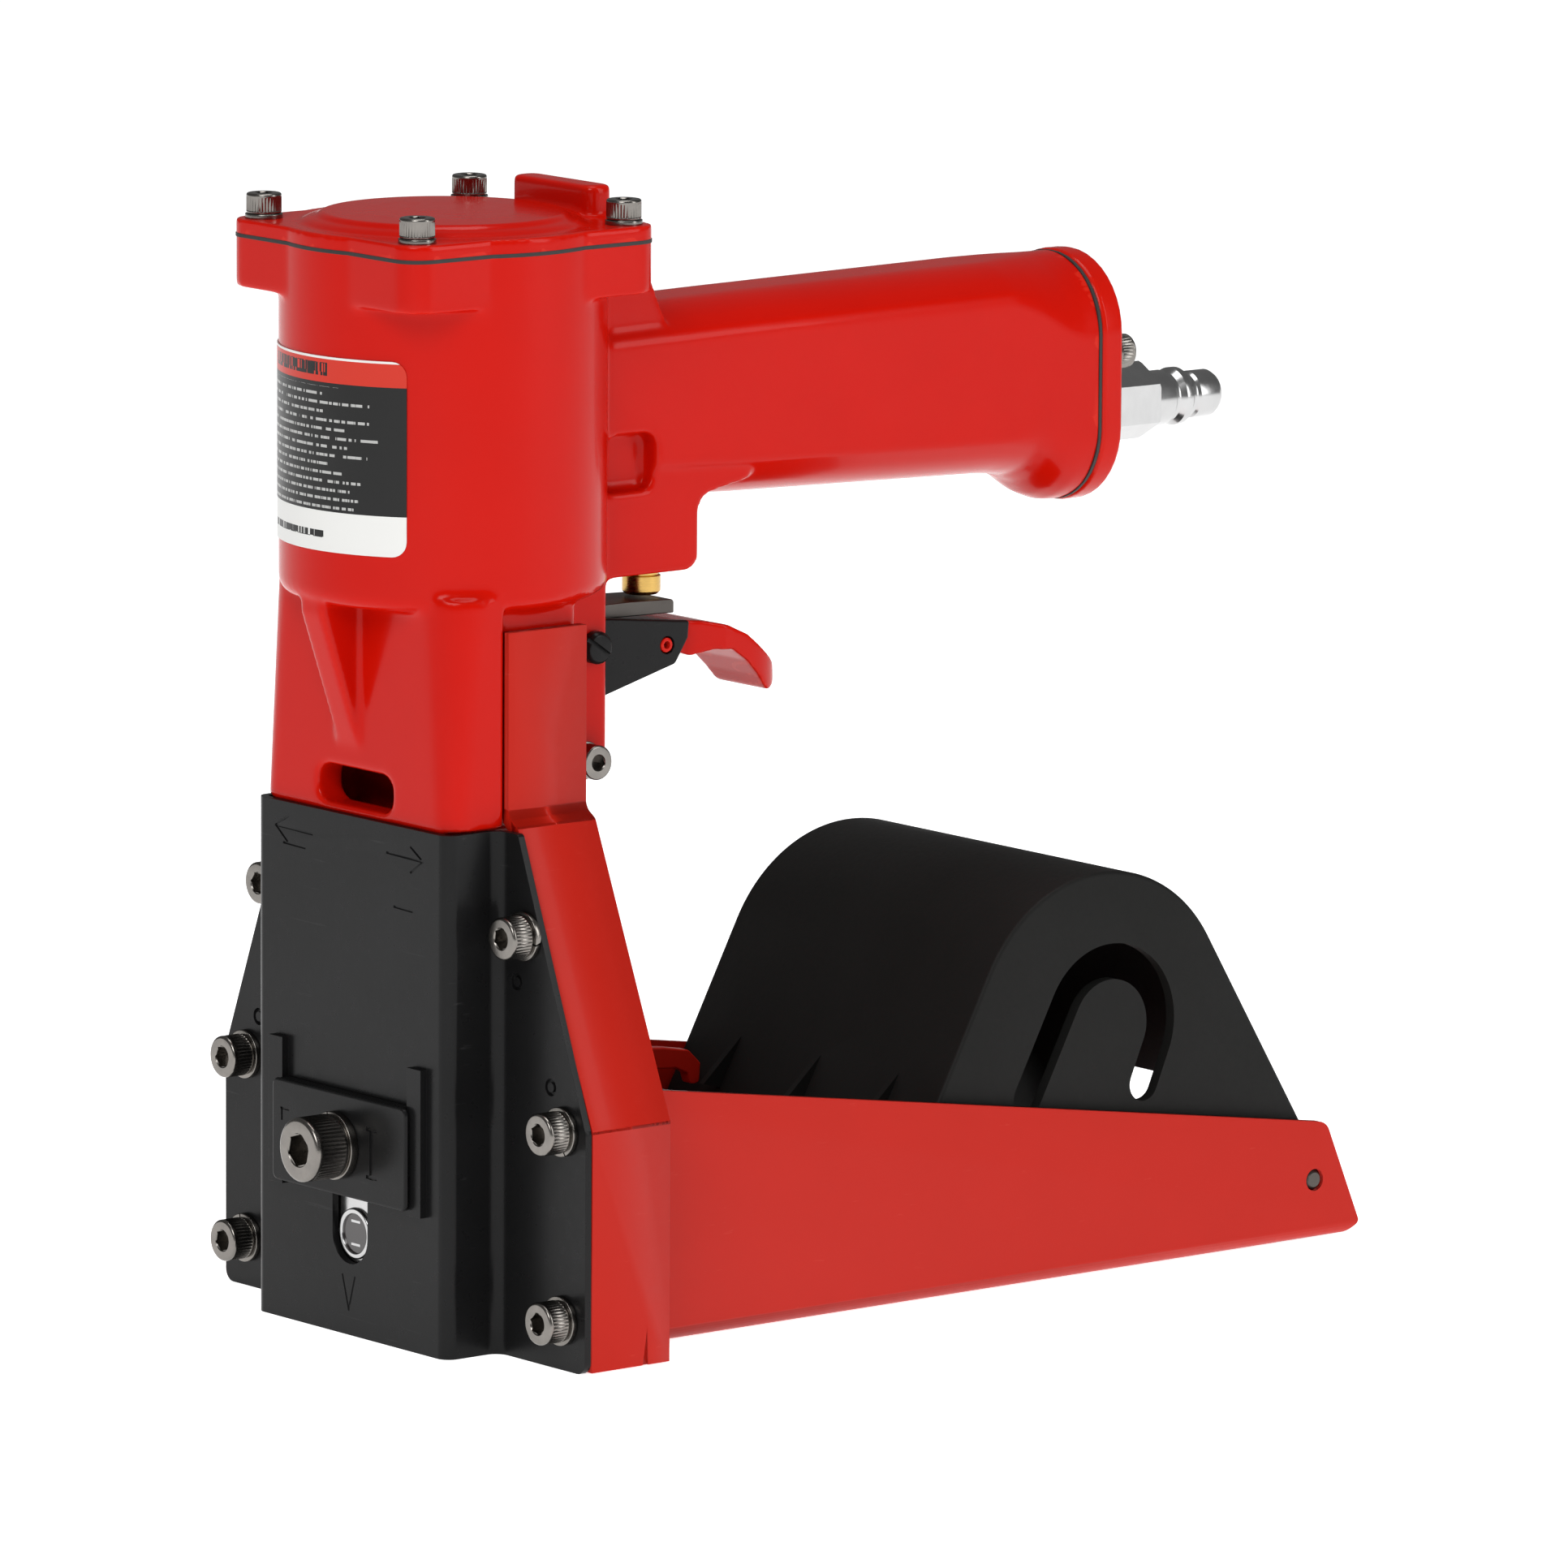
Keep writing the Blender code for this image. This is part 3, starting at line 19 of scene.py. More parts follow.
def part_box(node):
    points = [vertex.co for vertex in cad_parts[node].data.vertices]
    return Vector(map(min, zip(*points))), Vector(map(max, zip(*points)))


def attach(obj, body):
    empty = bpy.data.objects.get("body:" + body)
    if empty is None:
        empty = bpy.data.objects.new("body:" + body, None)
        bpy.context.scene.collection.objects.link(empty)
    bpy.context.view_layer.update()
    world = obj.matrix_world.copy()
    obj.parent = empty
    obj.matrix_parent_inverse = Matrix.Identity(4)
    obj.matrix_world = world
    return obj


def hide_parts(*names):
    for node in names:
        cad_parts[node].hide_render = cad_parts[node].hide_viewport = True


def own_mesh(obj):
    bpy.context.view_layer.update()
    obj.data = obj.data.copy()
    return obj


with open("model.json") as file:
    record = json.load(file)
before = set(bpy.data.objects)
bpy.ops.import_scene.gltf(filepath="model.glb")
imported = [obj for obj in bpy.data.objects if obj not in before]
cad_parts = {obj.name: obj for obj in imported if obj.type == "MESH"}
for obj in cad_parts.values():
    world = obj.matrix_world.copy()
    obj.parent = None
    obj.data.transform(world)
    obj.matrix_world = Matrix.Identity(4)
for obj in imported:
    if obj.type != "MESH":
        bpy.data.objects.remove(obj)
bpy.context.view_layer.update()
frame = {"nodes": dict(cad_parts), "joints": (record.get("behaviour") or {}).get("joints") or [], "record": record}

LOG = logging.getLogger("stapler")
MM = 0.001
SCREW_PLACES = ((52.0, 10.0), (52.0, 47.8), (40.0, 85.1))  # |Y| and Z of the cover's screws
Colour = tuple[float, float, float]
Corner = tuple[float, ...]
Span = tuple[float, float]


class Body(str, Enum):
    """The frame's bodies that a finer piece rides on."""

    HOUSING = "stapler_body"
    TRIGGER = "trigger"
    STEM = "valve_stem"
    CLINCHER_LEFT = "clincher_left"
    CLINCHER_RIGHT = "clincher_right"
    ADJUSTER = "depth_adjuster"
    CANISTER = "canister"
    FEED = "feed"
    LEVER = "loading_lever"


class Slot(str, Enum):
    """The record's material slots."""

    RED_ENAMEL = "red_enamel"
    RED_SHEET = "red_sheet"
    BLACK_SHEET = "black_sheet"
    BLACK_PLASTIC = "black_plastic"
    DARK_NICKEL = "dark_nickel"
    BRIGHT_NICKEL = "bright_nickel"
    STEEL = "steel"
    BRASS = "brass"
    ALUMINIUM = "aluminium"
    RUBBER = "rubber"
    LABEL_FILM = "label_film"


class Axis(Enum):
    """The axis along which an outline is pulled or a profile turned."""

    X = ((0, 0, 1), (1, 0, 0), (0, 1, 0))
    Y = ((1, 0, 0), (0, 0, 1), (0, 1, 0))
    Z = ((1, 0, 0), (0, 1, 0), (0, 0, 1))

    def matrix(self) -> Matrix:
        """Matrix that takes (u, v, along) to (x, y, z)."""
        return Matrix(self.value).to_4x4()


def tool_origin() -> Vector:
    """The foot of the cylinder's axis in the row frame, in metres."""
    low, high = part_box("cylinder_sleeve")
    return Vector(((low[0] + high[0]) / 2, (low[1] + high[1]) / 2, 0.0))


ROW = Matrix.Translation(tool_origin()) @ Matrix.Scale(MM, 4)


def middle(node: str) -> Vector:
    """Middle of a CAD node's box at rest, in the tool's millimetres."""
    low, high = (Vector(corner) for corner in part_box(node))
    return ROW.inverted() @ ((low + high) / 2)


def rectangle(u: Span, v: Span, radius: float = 0.0) -> list[Corner]:
    """Corners of a rectangle, each with the same radius."""
    return [(u[0], v[0], radius), (u[1], v[0], radius), (u[1], v[1], radius), (u[0], v[1], radius)]


def mirrored(corners: Iterable[Corner], side: int) -> list[Corner]:
    """Corners with their first coordinate multiplied by side."""
    return [(side * corner[0], *corner[1:]) for corner in corners]


def flank(side: int, near: float, far: float) -> Span:
    """Limits on Y of something that lies on one side of the tool."""
    return (near, far) if side > 0 else (-far, -near)


def folded(path: Sequence[Corner], thickness: float) -> list[Corner]:
    """Closed outline of a bent sheet.

    Args:
        path: Corners (u, v, radius) of one face of the sheet, in order.
        thickness: Sheet thickness, measured to the left of the path.

    Returns:
        The corners of the path and of its other face.
    """
    other = []
    for i, corner in enumerate(path):
        here, radius = Vector(corner[:2]), (*corner, 0.0)[2]
        runs = [(here - Vector(path[i - 1][:2])).normalized()] if i else []
        if i < len(path) - 1:
            runs.append((Vector(path[i + 1][:2]) - here).normalized())
        sides = [Vector((-run.y, run.x)) for run in runs]
        side = sum(sides, Vector((0.0, 0.0))).normalized()
        point = here + side * (thickness / side.dot(sides[0]))
        turn = math.copysign(1.0, runs[0].cross(runs[-1]))
        bent = max(radius - turn * thickness, 0.3) if radius else 0.0
        other.append((point.x, point.y, bent))
    return [*path, *reversed(other)]


class Solid:
    """A closed mesh in the making, in the tool's millimetres."""

    def __init__(self) -> None:
        """Starts with an empty mesh."""
        self.mesh = bmesh.new()

    def _outline(self, corners: Sequence[Corner], steps: int) -> bmesh.types.BMFace:
        """Adds a flat face and rounds its corners.

        Args:
            corners: (u, v) or (u, v, radius) of each corner, in order.
            steps: Segments of each rounded corner.

        Returns:
            The face.
        """
        points = [Vector(corner[:2]) for corner in corners]
        verts = [self.mesh.verts.new((*point, 0.0)) for point in points]
        self.mesh.faces.new(verts)
        for i, corner in enumerate(corners):
            radius = corner[2] if len(corner) > 2 else 0.0
            before = points[i - 1] - points[i]
            after = points[(i + 1) % len(points)] - points[i]
            opening = before.angle(after)
            if radius <= 0.0 or opening > math.pi - 1e-3:
                continue
            bmesh.ops.bevel(
                self.mesh,
                geom=[verts[i]],
                offset=radius / math.tan(opening / 2),
                offset_type="OFFSET",
                segments=steps,
                profile=0.5,
                affect="VERTICES",
                clamp_overlap=False,
                material=-1,
            )
        return self.mesh.faces[:][0]

    @classmethod
    def prism(cls, corners: Sequence[Corner], axis: Axis, span: Span, steps: int = 8) -> "Solid":
        """Pulls an outline along an axis.

        Args:
            corners: The outline's corners: (y, z) for X, (x, z) for Y, (x, y) for Z.
            axis: The axis to pull along.
            span: Where the solid starts and ends on the axis.
            steps: Segments of each rounded corner.

        Returns:
            The new solid.
        """
        solid = cls()
        face = solid._outline(corners, steps)
        pulled = bmesh.ops.extrude_face_region(solid.mesh, geom=[face])["geom"]
        top = [part for part in pulled if isinstance(part, bmesh.types.BMVert)]
        bmesh.ops.translate(solid.mesh, verts=top, vec=(0.0, 0.0, span[1] - span[0]))
        bmesh.ops.translate(solid.mesh, verts=solid.mesh.verts, vec=(0.0, 0.0, span[0]))
        return solid.turn(axis.matrix()).tidy()

    @classmethod
    def block(cls, x: Span, y: Span, z: Span) -> "Solid":
        """A block between three pairs of limits."""
        return cls.prism(rectangle(x, y), Axis.Z, z)

    @classmethod
    def loft(cls, sections: Sequence[tuple[float, Sequence[Corner]]], axis: Axis, steps: int = 8) -> "Solid":
        """Joins outlines of the same number of corners, one behind the other on an axis.

        Args:
            sections: Each outline's place on the axis and its corners.
            axis: The axis the outlines stand across.
            steps: Segments of each rounded corner.

        Returns:
            The new solid.
        """
        solid = cls()
        loops = []
        for place, corners in sections:
            ring = Solid()
            ring._outline(corners, steps)
            bmesh.ops.translate(ring.mesh, verts=ring.mesh.verts, vec=(0.0, 0.0, place))
            before = len(solid.mesh.edges)
            solid.add(ring)
            loops.append(solid.mesh.edges[before:])
        for near, far in zip(loops, loops[1:]):
            bmesh.ops.bridge_loops(solid.mesh, edges=[*near, *far])
        inner = solid.mesh.faces[1 : len(sections) - 1]
        bmesh.ops.delete(solid.mesh, geom=inner, context="FACES_ONLY")
        return solid.turn(axis.matrix()).tidy()

    @classmethod
    def turned(
        cls,
        corners: Sequence[Corner],
        axis: Axis,
        centre: Sequence[float] = (0.0, 0.0, 0.0),
        steps: int = 64,
        rounding: int = 5,
    ) -> "Solid":
        """Spins a closed profile round an axis.

        Args:
            corners: The profile's (radius, along, rounding radius) corners.
            axis: The axis to spin round.
            centre: A point on the axis.
            steps: Segments of the full turn.
            rounding: Segments of each rounded corner of the profile.

        Returns:
            The new solid.
        """
        solid = cls()
        face = solid._outline(corners, rounding)
        bmesh.ops.delete(solid.mesh, geom=[face], context="FACES_ONLY")
        on_axis = [edge for edge in solid.mesh.edges if max(v.co.x for v in edge.verts) < 1e-5]
        bmesh.ops.delete(solid.mesh, geom=on_axis, context="EDGES")
        upright = Matrix(((1, 0, 0), (0, 0, 1), (0, 1, 0))).to_4x4()
        solid.turn(upright)
        geometry = solid.mesh.verts[:] + solid.mesh.edges[:]
        turn = {"axis": (0, 0, 1), "angle": math.tau, "steps": steps, "use_merge": True}
        bmesh.ops.spin(solid.mesh, geom=geometry, cent=(0, 0, 0), **turn)
        return solid.turn(Matrix.Translation(Vector(centre)) @ axis.matrix()).tidy()

    @classmethod
    def rod(cls, radius: float, axis: Axis, span: Span, centre: Sequence[float], steps: int = 40) -> "Solid":
        """A plain cylinder, mostly a cutter."""
        solid = cls()
        matrix = Matrix.Translation((0.0, 0.0, (span[0] + span[1]) / 2))
        size = {"radius1": radius, "radius2": radius, "depth": abs(span[1] - span[0])}
        bmesh.ops.create_cone(solid.mesh, cap_ends=True, segments=steps, matrix=matrix, **size)
        return solid.turn(Matrix.Translation(Vector(centre)) @ axis.matrix()).tidy()

    @classmethod
    def copy_of(cls, node: str) -> "Solid":
        """A CAD node's mesh, with its loose triangles merged into faces."""
        solid = cls()
        solid.mesh.from_mesh(frame["nodes"][node].data)
        solid.turn(ROW.inverted())
        bmesh.ops.remove_doubles(solid.mesh, verts=solid.mesh.verts, dist=0.002)
        return solid.flatten()

    def add(self, *others: "Solid") -> "Solid":
        """Takes other solids in as loose shells, without joining them."""
        for other in others:
            data = bpy.data.meshes.new("taken")
            other.mesh.to_mesh(data)
            other.mesh.free()
            self.mesh.from_mesh(data)
            bpy.data.meshes.remove(data)
        self.mesh.verts.ensure_lookup_table()
        self.mesh.edges.ensure_lookup_table()
        self.mesh.faces.ensure_lookup_table()
        return self

    def turn(self, matrix: Matrix) -> "Solid":
        """Transforms the whole mesh."""
        bmesh.ops.transform(self.mesh, matrix=matrix, verts=self.mesh.verts)
        return self

    def copy(self) -> "Solid":
        """A second solid with the same mesh."""
        twin = Solid()
        twin.mesh.free()
        twin.mesh = self.mesh.copy()
        return twin

    def tidy(self) -> "Solid":
        """Merges doubles and points the faces outward."""
        bmesh.ops.remove_doubles(self.mesh, verts=self.mesh.verts, dist=0.001)
        bmesh.ops.recalc_face_normals(self.mesh, faces=self.mesh.faces)
        return self

    def flatten(self, degrees: float = 1.0) -> "Solid":
        """Dissolves the edges inside flat faces."""
        bmesh.ops.dissolve_degenerate(self.mesh, edges=self.mesh.edges, dist=0.001)
        limit = math.radians(degrees)
        bmesh.ops.dissolve_limit(
            self.mesh, angle_limit=limit, verts=self.mesh.verts, edges=self.mesh.edges
        )
        return self.tidy()

    def _holder(self) -> bpy.types.Object:
        """The mesh as a linked object, for a modifier."""
        data = bpy.data.meshes.new("holder")
        self.mesh.to_mesh(data)
        holder = bpy.data.objects.new("holder", data)
        bpy.context.scene.collection.objects.link(holder)
        return holder

    def _take(self, holders: Sequence[bpy.types.Object]) -> "Solid":
        """Takes the first holder's evaluated mesh back and removes the holders."""
        graph = bpy.context.evaluated_depsgraph_get()
        result = holders[0].evaluated_get(graph)
        self.mesh.free()
        self.mesh = bmesh.new()
        self.mesh.from_mesh(result.to_mesh())
        result.to_mesh_clear()
        for holder in holders:
            data = holder.data
            bpy.data.objects.remove(holder)
            bpy.data.meshes.remove(data)
        return self

    def _combine(self, others: Sequence["Solid"], operation: str) -> "Solid":
        """Runs one Boolean after another.

        Args:
            others: The solids to join or to cut with.
            operation: UNION, DIFFERENCE or INTERSECT.

        Returns:
            This solid.
        """
        holders = [solid._holder() for solid in (self, *others)]
        for holder in holders[1:]:
            modifier = holders[0].modifiers.new("combine", "BOOLEAN")
            modifier.operation = operation
            modifier.solver = "EXACT"
            modifier.object = holder
            holder.hide_render = True
        for other in others:
            other.mesh.free()
        return self._take(holders).tidy()

    def join(self, *others: "Solid") -> "Solid":
        """Joins other solids to this one."""
        return self._combine(others, "UNION")

    def cut(self, *others: "Solid") -> "Solid":
        """Cuts other solids out of this one."""
        return self._combine(others, "DIFFERENCE")

    def common(self, *others: "Solid") -> "Solid":
        """Keeps what this solid shares with the others."""
        return self._combine(others, "INTERSECT")

    def soften(self, width: float, segments: int = 3, degrees: float = 35.0) -> "Solid":
        """Bevels the sharp edges.

        Args:
            width: Width of the bevel.
            segments: Segments of the bevel.
            degrees: Edges that turn by more than this are bevelled.

        Returns:
            This solid.
        """
        self.flatten()
        limit = math.radians(degrees)
        edges = [edge for edge in self.mesh.edges if edge.calc_face_angle(0.0) > limit]
        bmesh.ops.bevel(
            self.mesh,
            geom=edges,
            offset=width,
            offset_type="OFFSET",
            segments=segments,
            profile=0.5,
            affect="EDGES",
            clamp_overlap=True,
            material=-1,
        )
        return self.tidy()

    def cast(self, voxel: float, passes: int, budget: int) -> "Solid":
        """Turns sharp joins into the soft ones of a casting.

        Args:
            voxel: Size of the remeshing voxel.
            passes: Smoothing passes.
            budget: Triangles to keep at most.

        Returns:
            This solid.
        """
        holder = self._holder()
        remesh = holder.modifiers.new("voxels", "REMESH")
        remesh.mode = "VOXEL"
        remesh.voxel_size = voxel
        smooth = holder.modifiers.new("smooth", "SMOOTH")
        smooth.factor = 0.5
        smooth.iterations = passes
        self._take([holder])
        bmesh.ops.triangulate(self.mesh, faces=self.mesh.faces)
        if len(self.mesh.faces) > budget:
            holder = self._holder()
            thin = holder.modifiers.new("thin", "DECIMATE")
            thin.ratio = budget / len(self.mesh.faces)
            self._take([holder])
        return self.tidy()

    def trim(self, point: Sequence[float], outward: Sequence[float]) -> "Solid":
        """Cuts everything off beyond a plane and closes the cut.

        Args:
            point: A point on the plane.
            outward: The plane's normal, towards what goes.

        Returns:
            This solid.
        """
        geometry = self.mesh.verts[:] + self.mesh.edges[:] + self.mesh.faces[:]
        cut = bmesh.ops.bisect_plane(
            self.mesh, geom=geometry, plane_co=point, plane_no=outward, clear_outer=True
        )["geom_cut"]
        rim = [part for part in cut if isinstance(part, bmesh.types.BMEdge)]
        bmesh.ops.holes_fill(self.mesh, edges=rim)
        return self.tidy()

    def deliver(
        self,
        name: str,
        body: Body,
        slot: Slot,
        material: bpy.types.Material,
        replaces: Sequence[str] = (),
        edge: float = 0.0,
        sharp: float = 0.0,
    ) -> bpy.types.Object:
        """Makes the finished piece in the row frame.

        Args:
            name: The piece's name.
            body: The body that it moves with.
            slot: The record's slot that it would take its finish from; not used.
            material: Its material.
            replaces: The CAD nodes that it stands for.
            edge: Width of a live bevel on its sharp edges.
            sharp: Angle in degrees over which an edge is shaded sharp, instead of weighted normals.

        Returns:
            The piece.
        """
        self.tidy().turn(ROW)
        data = bpy.data.meshes.new(name)
        self.mesh.to_mesh(data)
        self.mesh.free()
        data.shade_smooth()
        data.materials.append(material)
        piece = bpy.data.objects.new(name, data)
        bpy.context.scene.collection.objects.link(piece)
        if edge:
            bevel = piece.modifiers.new("edge", "BEVEL")
            bevel.width = edge * MM
            bevel.segments = 3
            bevel.limit_method = "ANGLE"
            bevel.angle_limit = math.radians(32.0)
        if sharp:
            data.set_sharp_from_angle(angle=math.radians(sharp))
        else:
            weights = piece.modifiers.new("normals", "WEIGHTED_NORMAL")
            weights.mode = "FACE_AREA_WITH_ANGLE"
            weights.weight = 60
        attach(piece, body.value)
        if replaces:
            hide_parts(*replaces)
        LOG.info("%s: %d faces", name, len(data.polygons))
        return piece


# ---------------------------------------------------------------- finishes


Value = Union["Wire", float, Colour, tuple]


class Wire:
    """A node's output that can stand in sums and products."""

    def __init__(self, shader: "Shader", socket: bpy.types.NodeSocket) -> None:
        """Wraps one socket of a shader."""
        self.shader = shader
        self.socket = socket

    def _maths(self, operation: str, first: Value, second: Value) -> "Wire":
        """Adds a Math node on two values."""
        return self.shader.node("ShaderNodeMath", {"operation": operation}, {0: first, 1: second})

    def __add__(self, other: Value) -> "Wire":
        """self + other."""
        return self._maths("ADD", self, other)

    __radd__ = __add__

    def __sub__(self, other: Value) -> "Wire":
        """self - other."""
        return self._maths("SUBTRACT", self, other)

    def __rsub__(self, other: Value) -> "Wire":
        """other - self."""
        return self._maths("SUBTRACT", other, self)

    def __mul__(self, other: Value) -> "Wire":
        """self * other."""
        return self._maths("MULTIPLY", self, other)

    __rmul__ = __mul__

    def __truediv__(self, other: Value) -> "Wire":
        """self / other."""
        return self._maths("DIVIDE", self, other)

    def __gt__(self, other: Value) -> "Wire":
        """1 where self is over other, and 0 elsewhere."""
        return self._maths("GREATER_THAN", self, other)

    def __lt__(self, other: Value) -> "Wire":
        """1 where self is under other, and 0 elsewhere."""
        return self._maths("LESS_THAN", self, other)

    def between(self, low: Value, high: Value) -> "Wire":
        """1 from low to high, and 0 elsewhere."""
        return (self > low) * (self < high)

    def fraction(self) -> "Wire":
        """The part after the decimal point."""
        return self._maths("FRACT", self, 0.0)

    def floor(self) -> "Wire":
        """The whole part."""
        return self._maths("FLOOR", self, 0.0)


class Shader:
    """A material's node tree round one Principled shader."""

    def __init__(self, name: str) -> None:
        """Starts a material of that name."""
        self.material = bpy.data.materials.new(name)
        self.material.use_nodes = True
        self.tree = self.material.node_tree
        self.surface = self.tree.nodes["Principled BSDF"]
        self.place = self.node("ShaderNodeTexCoord", {}, {}, "Object")

    def node(self, kind: str, settings: dict, sockets: dict, output: Union[int, str] = 0) -> Wire:
        """Adds any node.

        Args:
            kind: The node's type.
            settings: Its settings, set before its sockets.
            sockets: A value or a Wire for each input, by index or name.
            output: The output to give back.

        Returns:
            That output.
        """
        node = self.tree.nodes.new(kind)
        for name, value in settings.items():
            setattr(node, name, value)
        for key, value in sockets.items():
            self.feed(node.inputs[key], value)
        return Wire(self, node.outputs[output])

    def feed(self, socket: bpy.types.NodeSocket, value: Value) -> None:
        """Sets a socket, or links it if the value is a Wire."""
        if isinstance(value, Wire):
            self.tree.links.new(value.socket, socket)
        elif isinstance(value, tuple) and len(value) == 3 and socket.type == "RGBA":
            socket.default_value = (*value, 1.0)
        else:
            socket.default_value = value

    def noise(self, scale: float, detail: float = 2.0, stretch: Colour = (1.0, 1.0, 1.0)) -> Wire:
        """Noise on Object coordinates.

        Args:
            scale: Cells per metre.
            detail: Octaves.
            stretch: How much denser the cells are along each axis.

        Returns:
            The noise, from 0 to 1.
        """
        place = self.place
        if stretch != (1.0, 1.0, 1.0):
            place = self.node("ShaderNodeMapping", {}, {"Vector": place, "Scale": stretch})
        sockets = {"Vector": place, "Scale": scale, "Detail": detail, "Roughness": 0.55}
        return self.node("ShaderNodeTexNoise", {}, sockets, "Fac")

    def mix(self, factor: Value, first: Value, second: Value) -> Wire:
        """Blends two colours."""
        settings = {"data_type": "RGBA"}
        return self.node("ShaderNodeMix", settings, {0: factor, 6: first, 7: second}, 2)

    def clamp(self, value: Wire, low: float, high: float) -> Wire:
        """Keeps a value between two limits."""
        return self.node("ShaderNodeClamp", {}, {"Value": value, "Min": low, "Max": high})

    def edge_highlight_mask(self, start: float = 0.52, width: float = 0.06) -> Wire:
        """A mask that is 1 on convex edges, from the mesh's own curvature, used to paint a highlight on them."""
        point = self.node("ShaderNodeNewGeometry", {}, {}, "Pointiness")
        return self.clamp((point - start) / width, 0.0, 1.0)

    def bump(self, height: Wire, depth: float, strength: float = 1.0) -> None:
        """Feeds a bump to the surface.

        Args:
            height: The relief, from 0 to 1.
            depth: Depth of the relief in millimetres.
            strength: Share of the relief that shows.
        """
        sockets = {"Strength": strength, "Distance": depth * MM, "Height": height}
        self.feed(self.surface.inputs["Normal"], self.node("ShaderNodeBump", {}, sockets, "Normal"))

    def finish(self, **values: Value) -> bpy.types.Material:
        """Sets the surface's sockets and gives the material."""
        for name, value in values.items():
            self.feed(self.surface.inputs[name.replace("_", " ").title()], value)
        self.material.diffuse_color = (*self.surface.inputs["Base Color"].default_value[:3], 1.0)
        return self.material


@dataclass(frozen=True)
class Finish:
    """A finish with a mottled colour, a varying roughness and a fine relief.

    Relief depths are in millimetres and densities in cells per metre.
    """

    name: str
    colour: Colour
    shade: Colour
    rough: Span
    metallic: float = 0.0
    coat: float = 0.0
    coat_rough: float = 0.08
    gloss: float = 0.5
    mottle: float = 60.0
    grain: float = 900.0
    relief: float = 0.02
    stretch: Colour = (1.0, 1.0, 1.0)

    def relief_height(self, shader: Shader) -> Wire:
        """The fine relief of the finish."""
        return shader.noise(self.grain, 3.0, self.stretch)

    def colouring(self, shader: Shader) -> Value:
        """The colour over the surface."""
        return shader.mix(shader.noise(self.mottle, 3.0), self.colour, self.shade)

    def material(self) -> bpy.types.Material:
        """Builds the material."""
        shader = Shader(self.name)
        height = self.relief_height(shader)
        low, high = self.rough
        rough = low + (high - low) * shader.noise(self.grain / 3.0, 2.0, self.stretch)
        shader.bump(height, self.relief)
        shader.surface.inputs["Coat Roughness"].default_value = self.coat_rough
        shader.surface.inputs["Specular IOR Level"].default_value = self.gloss
        return shader.finish(
            base_color=self.colouring(shader),
            roughness=rough,
            metallic=self.metallic,
            coat_weight=self.coat,
        )


@dataclass(frozen=True)
class CastEnamel(Finish):
    """Gloss enamel over a die casting: soft ripples, fine orange peel, a few pits, and a painted highlight that
    makes convex edges paler.
    """

    # edge is the colour of the painted highlight on convex edges, and the share below sets how much of it shows.
    edge: Colour = (0.70, 0.035, 0.018)
    highlight_share: float = 0.35
    ripple: float = 130.0
    peel_share: float = 0.22
    pit_share: float = 0.6

    def relief_height(self, shader: Shader) -> Wire:
        """Ripples of the casting under the fine peel of the enamel."""
        peel = shader.noise(self.grain, 2.0)
        ripple = shader.noise(self.ripple, 2.0)
        pits = shader.clamp((shader.noise(420.0, 0.0) - 0.76) * 9.0, 0.0, 1.0)
        return peel * self.peel_share + ripple - pits * self.pit_share

    def colouring(self, shader: Shader) -> Value:
        """Mottled red, painted paler on convex edges as a highlight."""
        base = super().colouring(shader)
        # Painted highlight: convex edges are blended towards the paler red.
        return shader.mix(shader.edge_highlight_mask() * self.highlight_share, base, self.edge)


@dataclass(frozen=True)
class SheetLacquer(Finish):
    """Lacquer over folded sheet, with scuffs that show a paler shade."""

    scuff: Colour = (0.30, 0.30, 0.30)
    scuffing: float = 0.15

    def colouring(self, shader: Shader) -> Value:
        """The lacquer's colour with thin scuffs."""
        base = super().colouring(shader)
        streak = shader.noise(160.0, 4.0, (1.0, 0.25, 6.0))
        scuffs = shader.clamp((streak - 0.68) * 12.0, 0.0, 1.0)
        return shader.mix(scuffs * self.scuffing, base, self.scuff)


@dataclass(frozen=True)
class MouldedPlastic(Finish):
    """Moulded plastic with a spark-eroded grain and faint flow marks."""

    def relief_height(self, shader: Shader) -> Wire:
        """Grain over long flow marks."""
        flow = shader.noise(30.0, 2.0, (1.0, 4.0, 1.0))
        return shader.noise(self.grain, 3.0) * 0.6 + flow * 0.4


@dataclass(frozen=True)
class TurnedMetal(Finish):
    """Metal with tool marks, finer along one axis."""

    def relief_height(self, shader: Shader) -> Wire:
        """Long tool marks crossed by a fine grain."""
        marks = shader.noise(self.grain, 1.0, self.stretch)
        return marks * 0.7 + shader.noise(self.grain * 2.5, 2.0) * 0.3


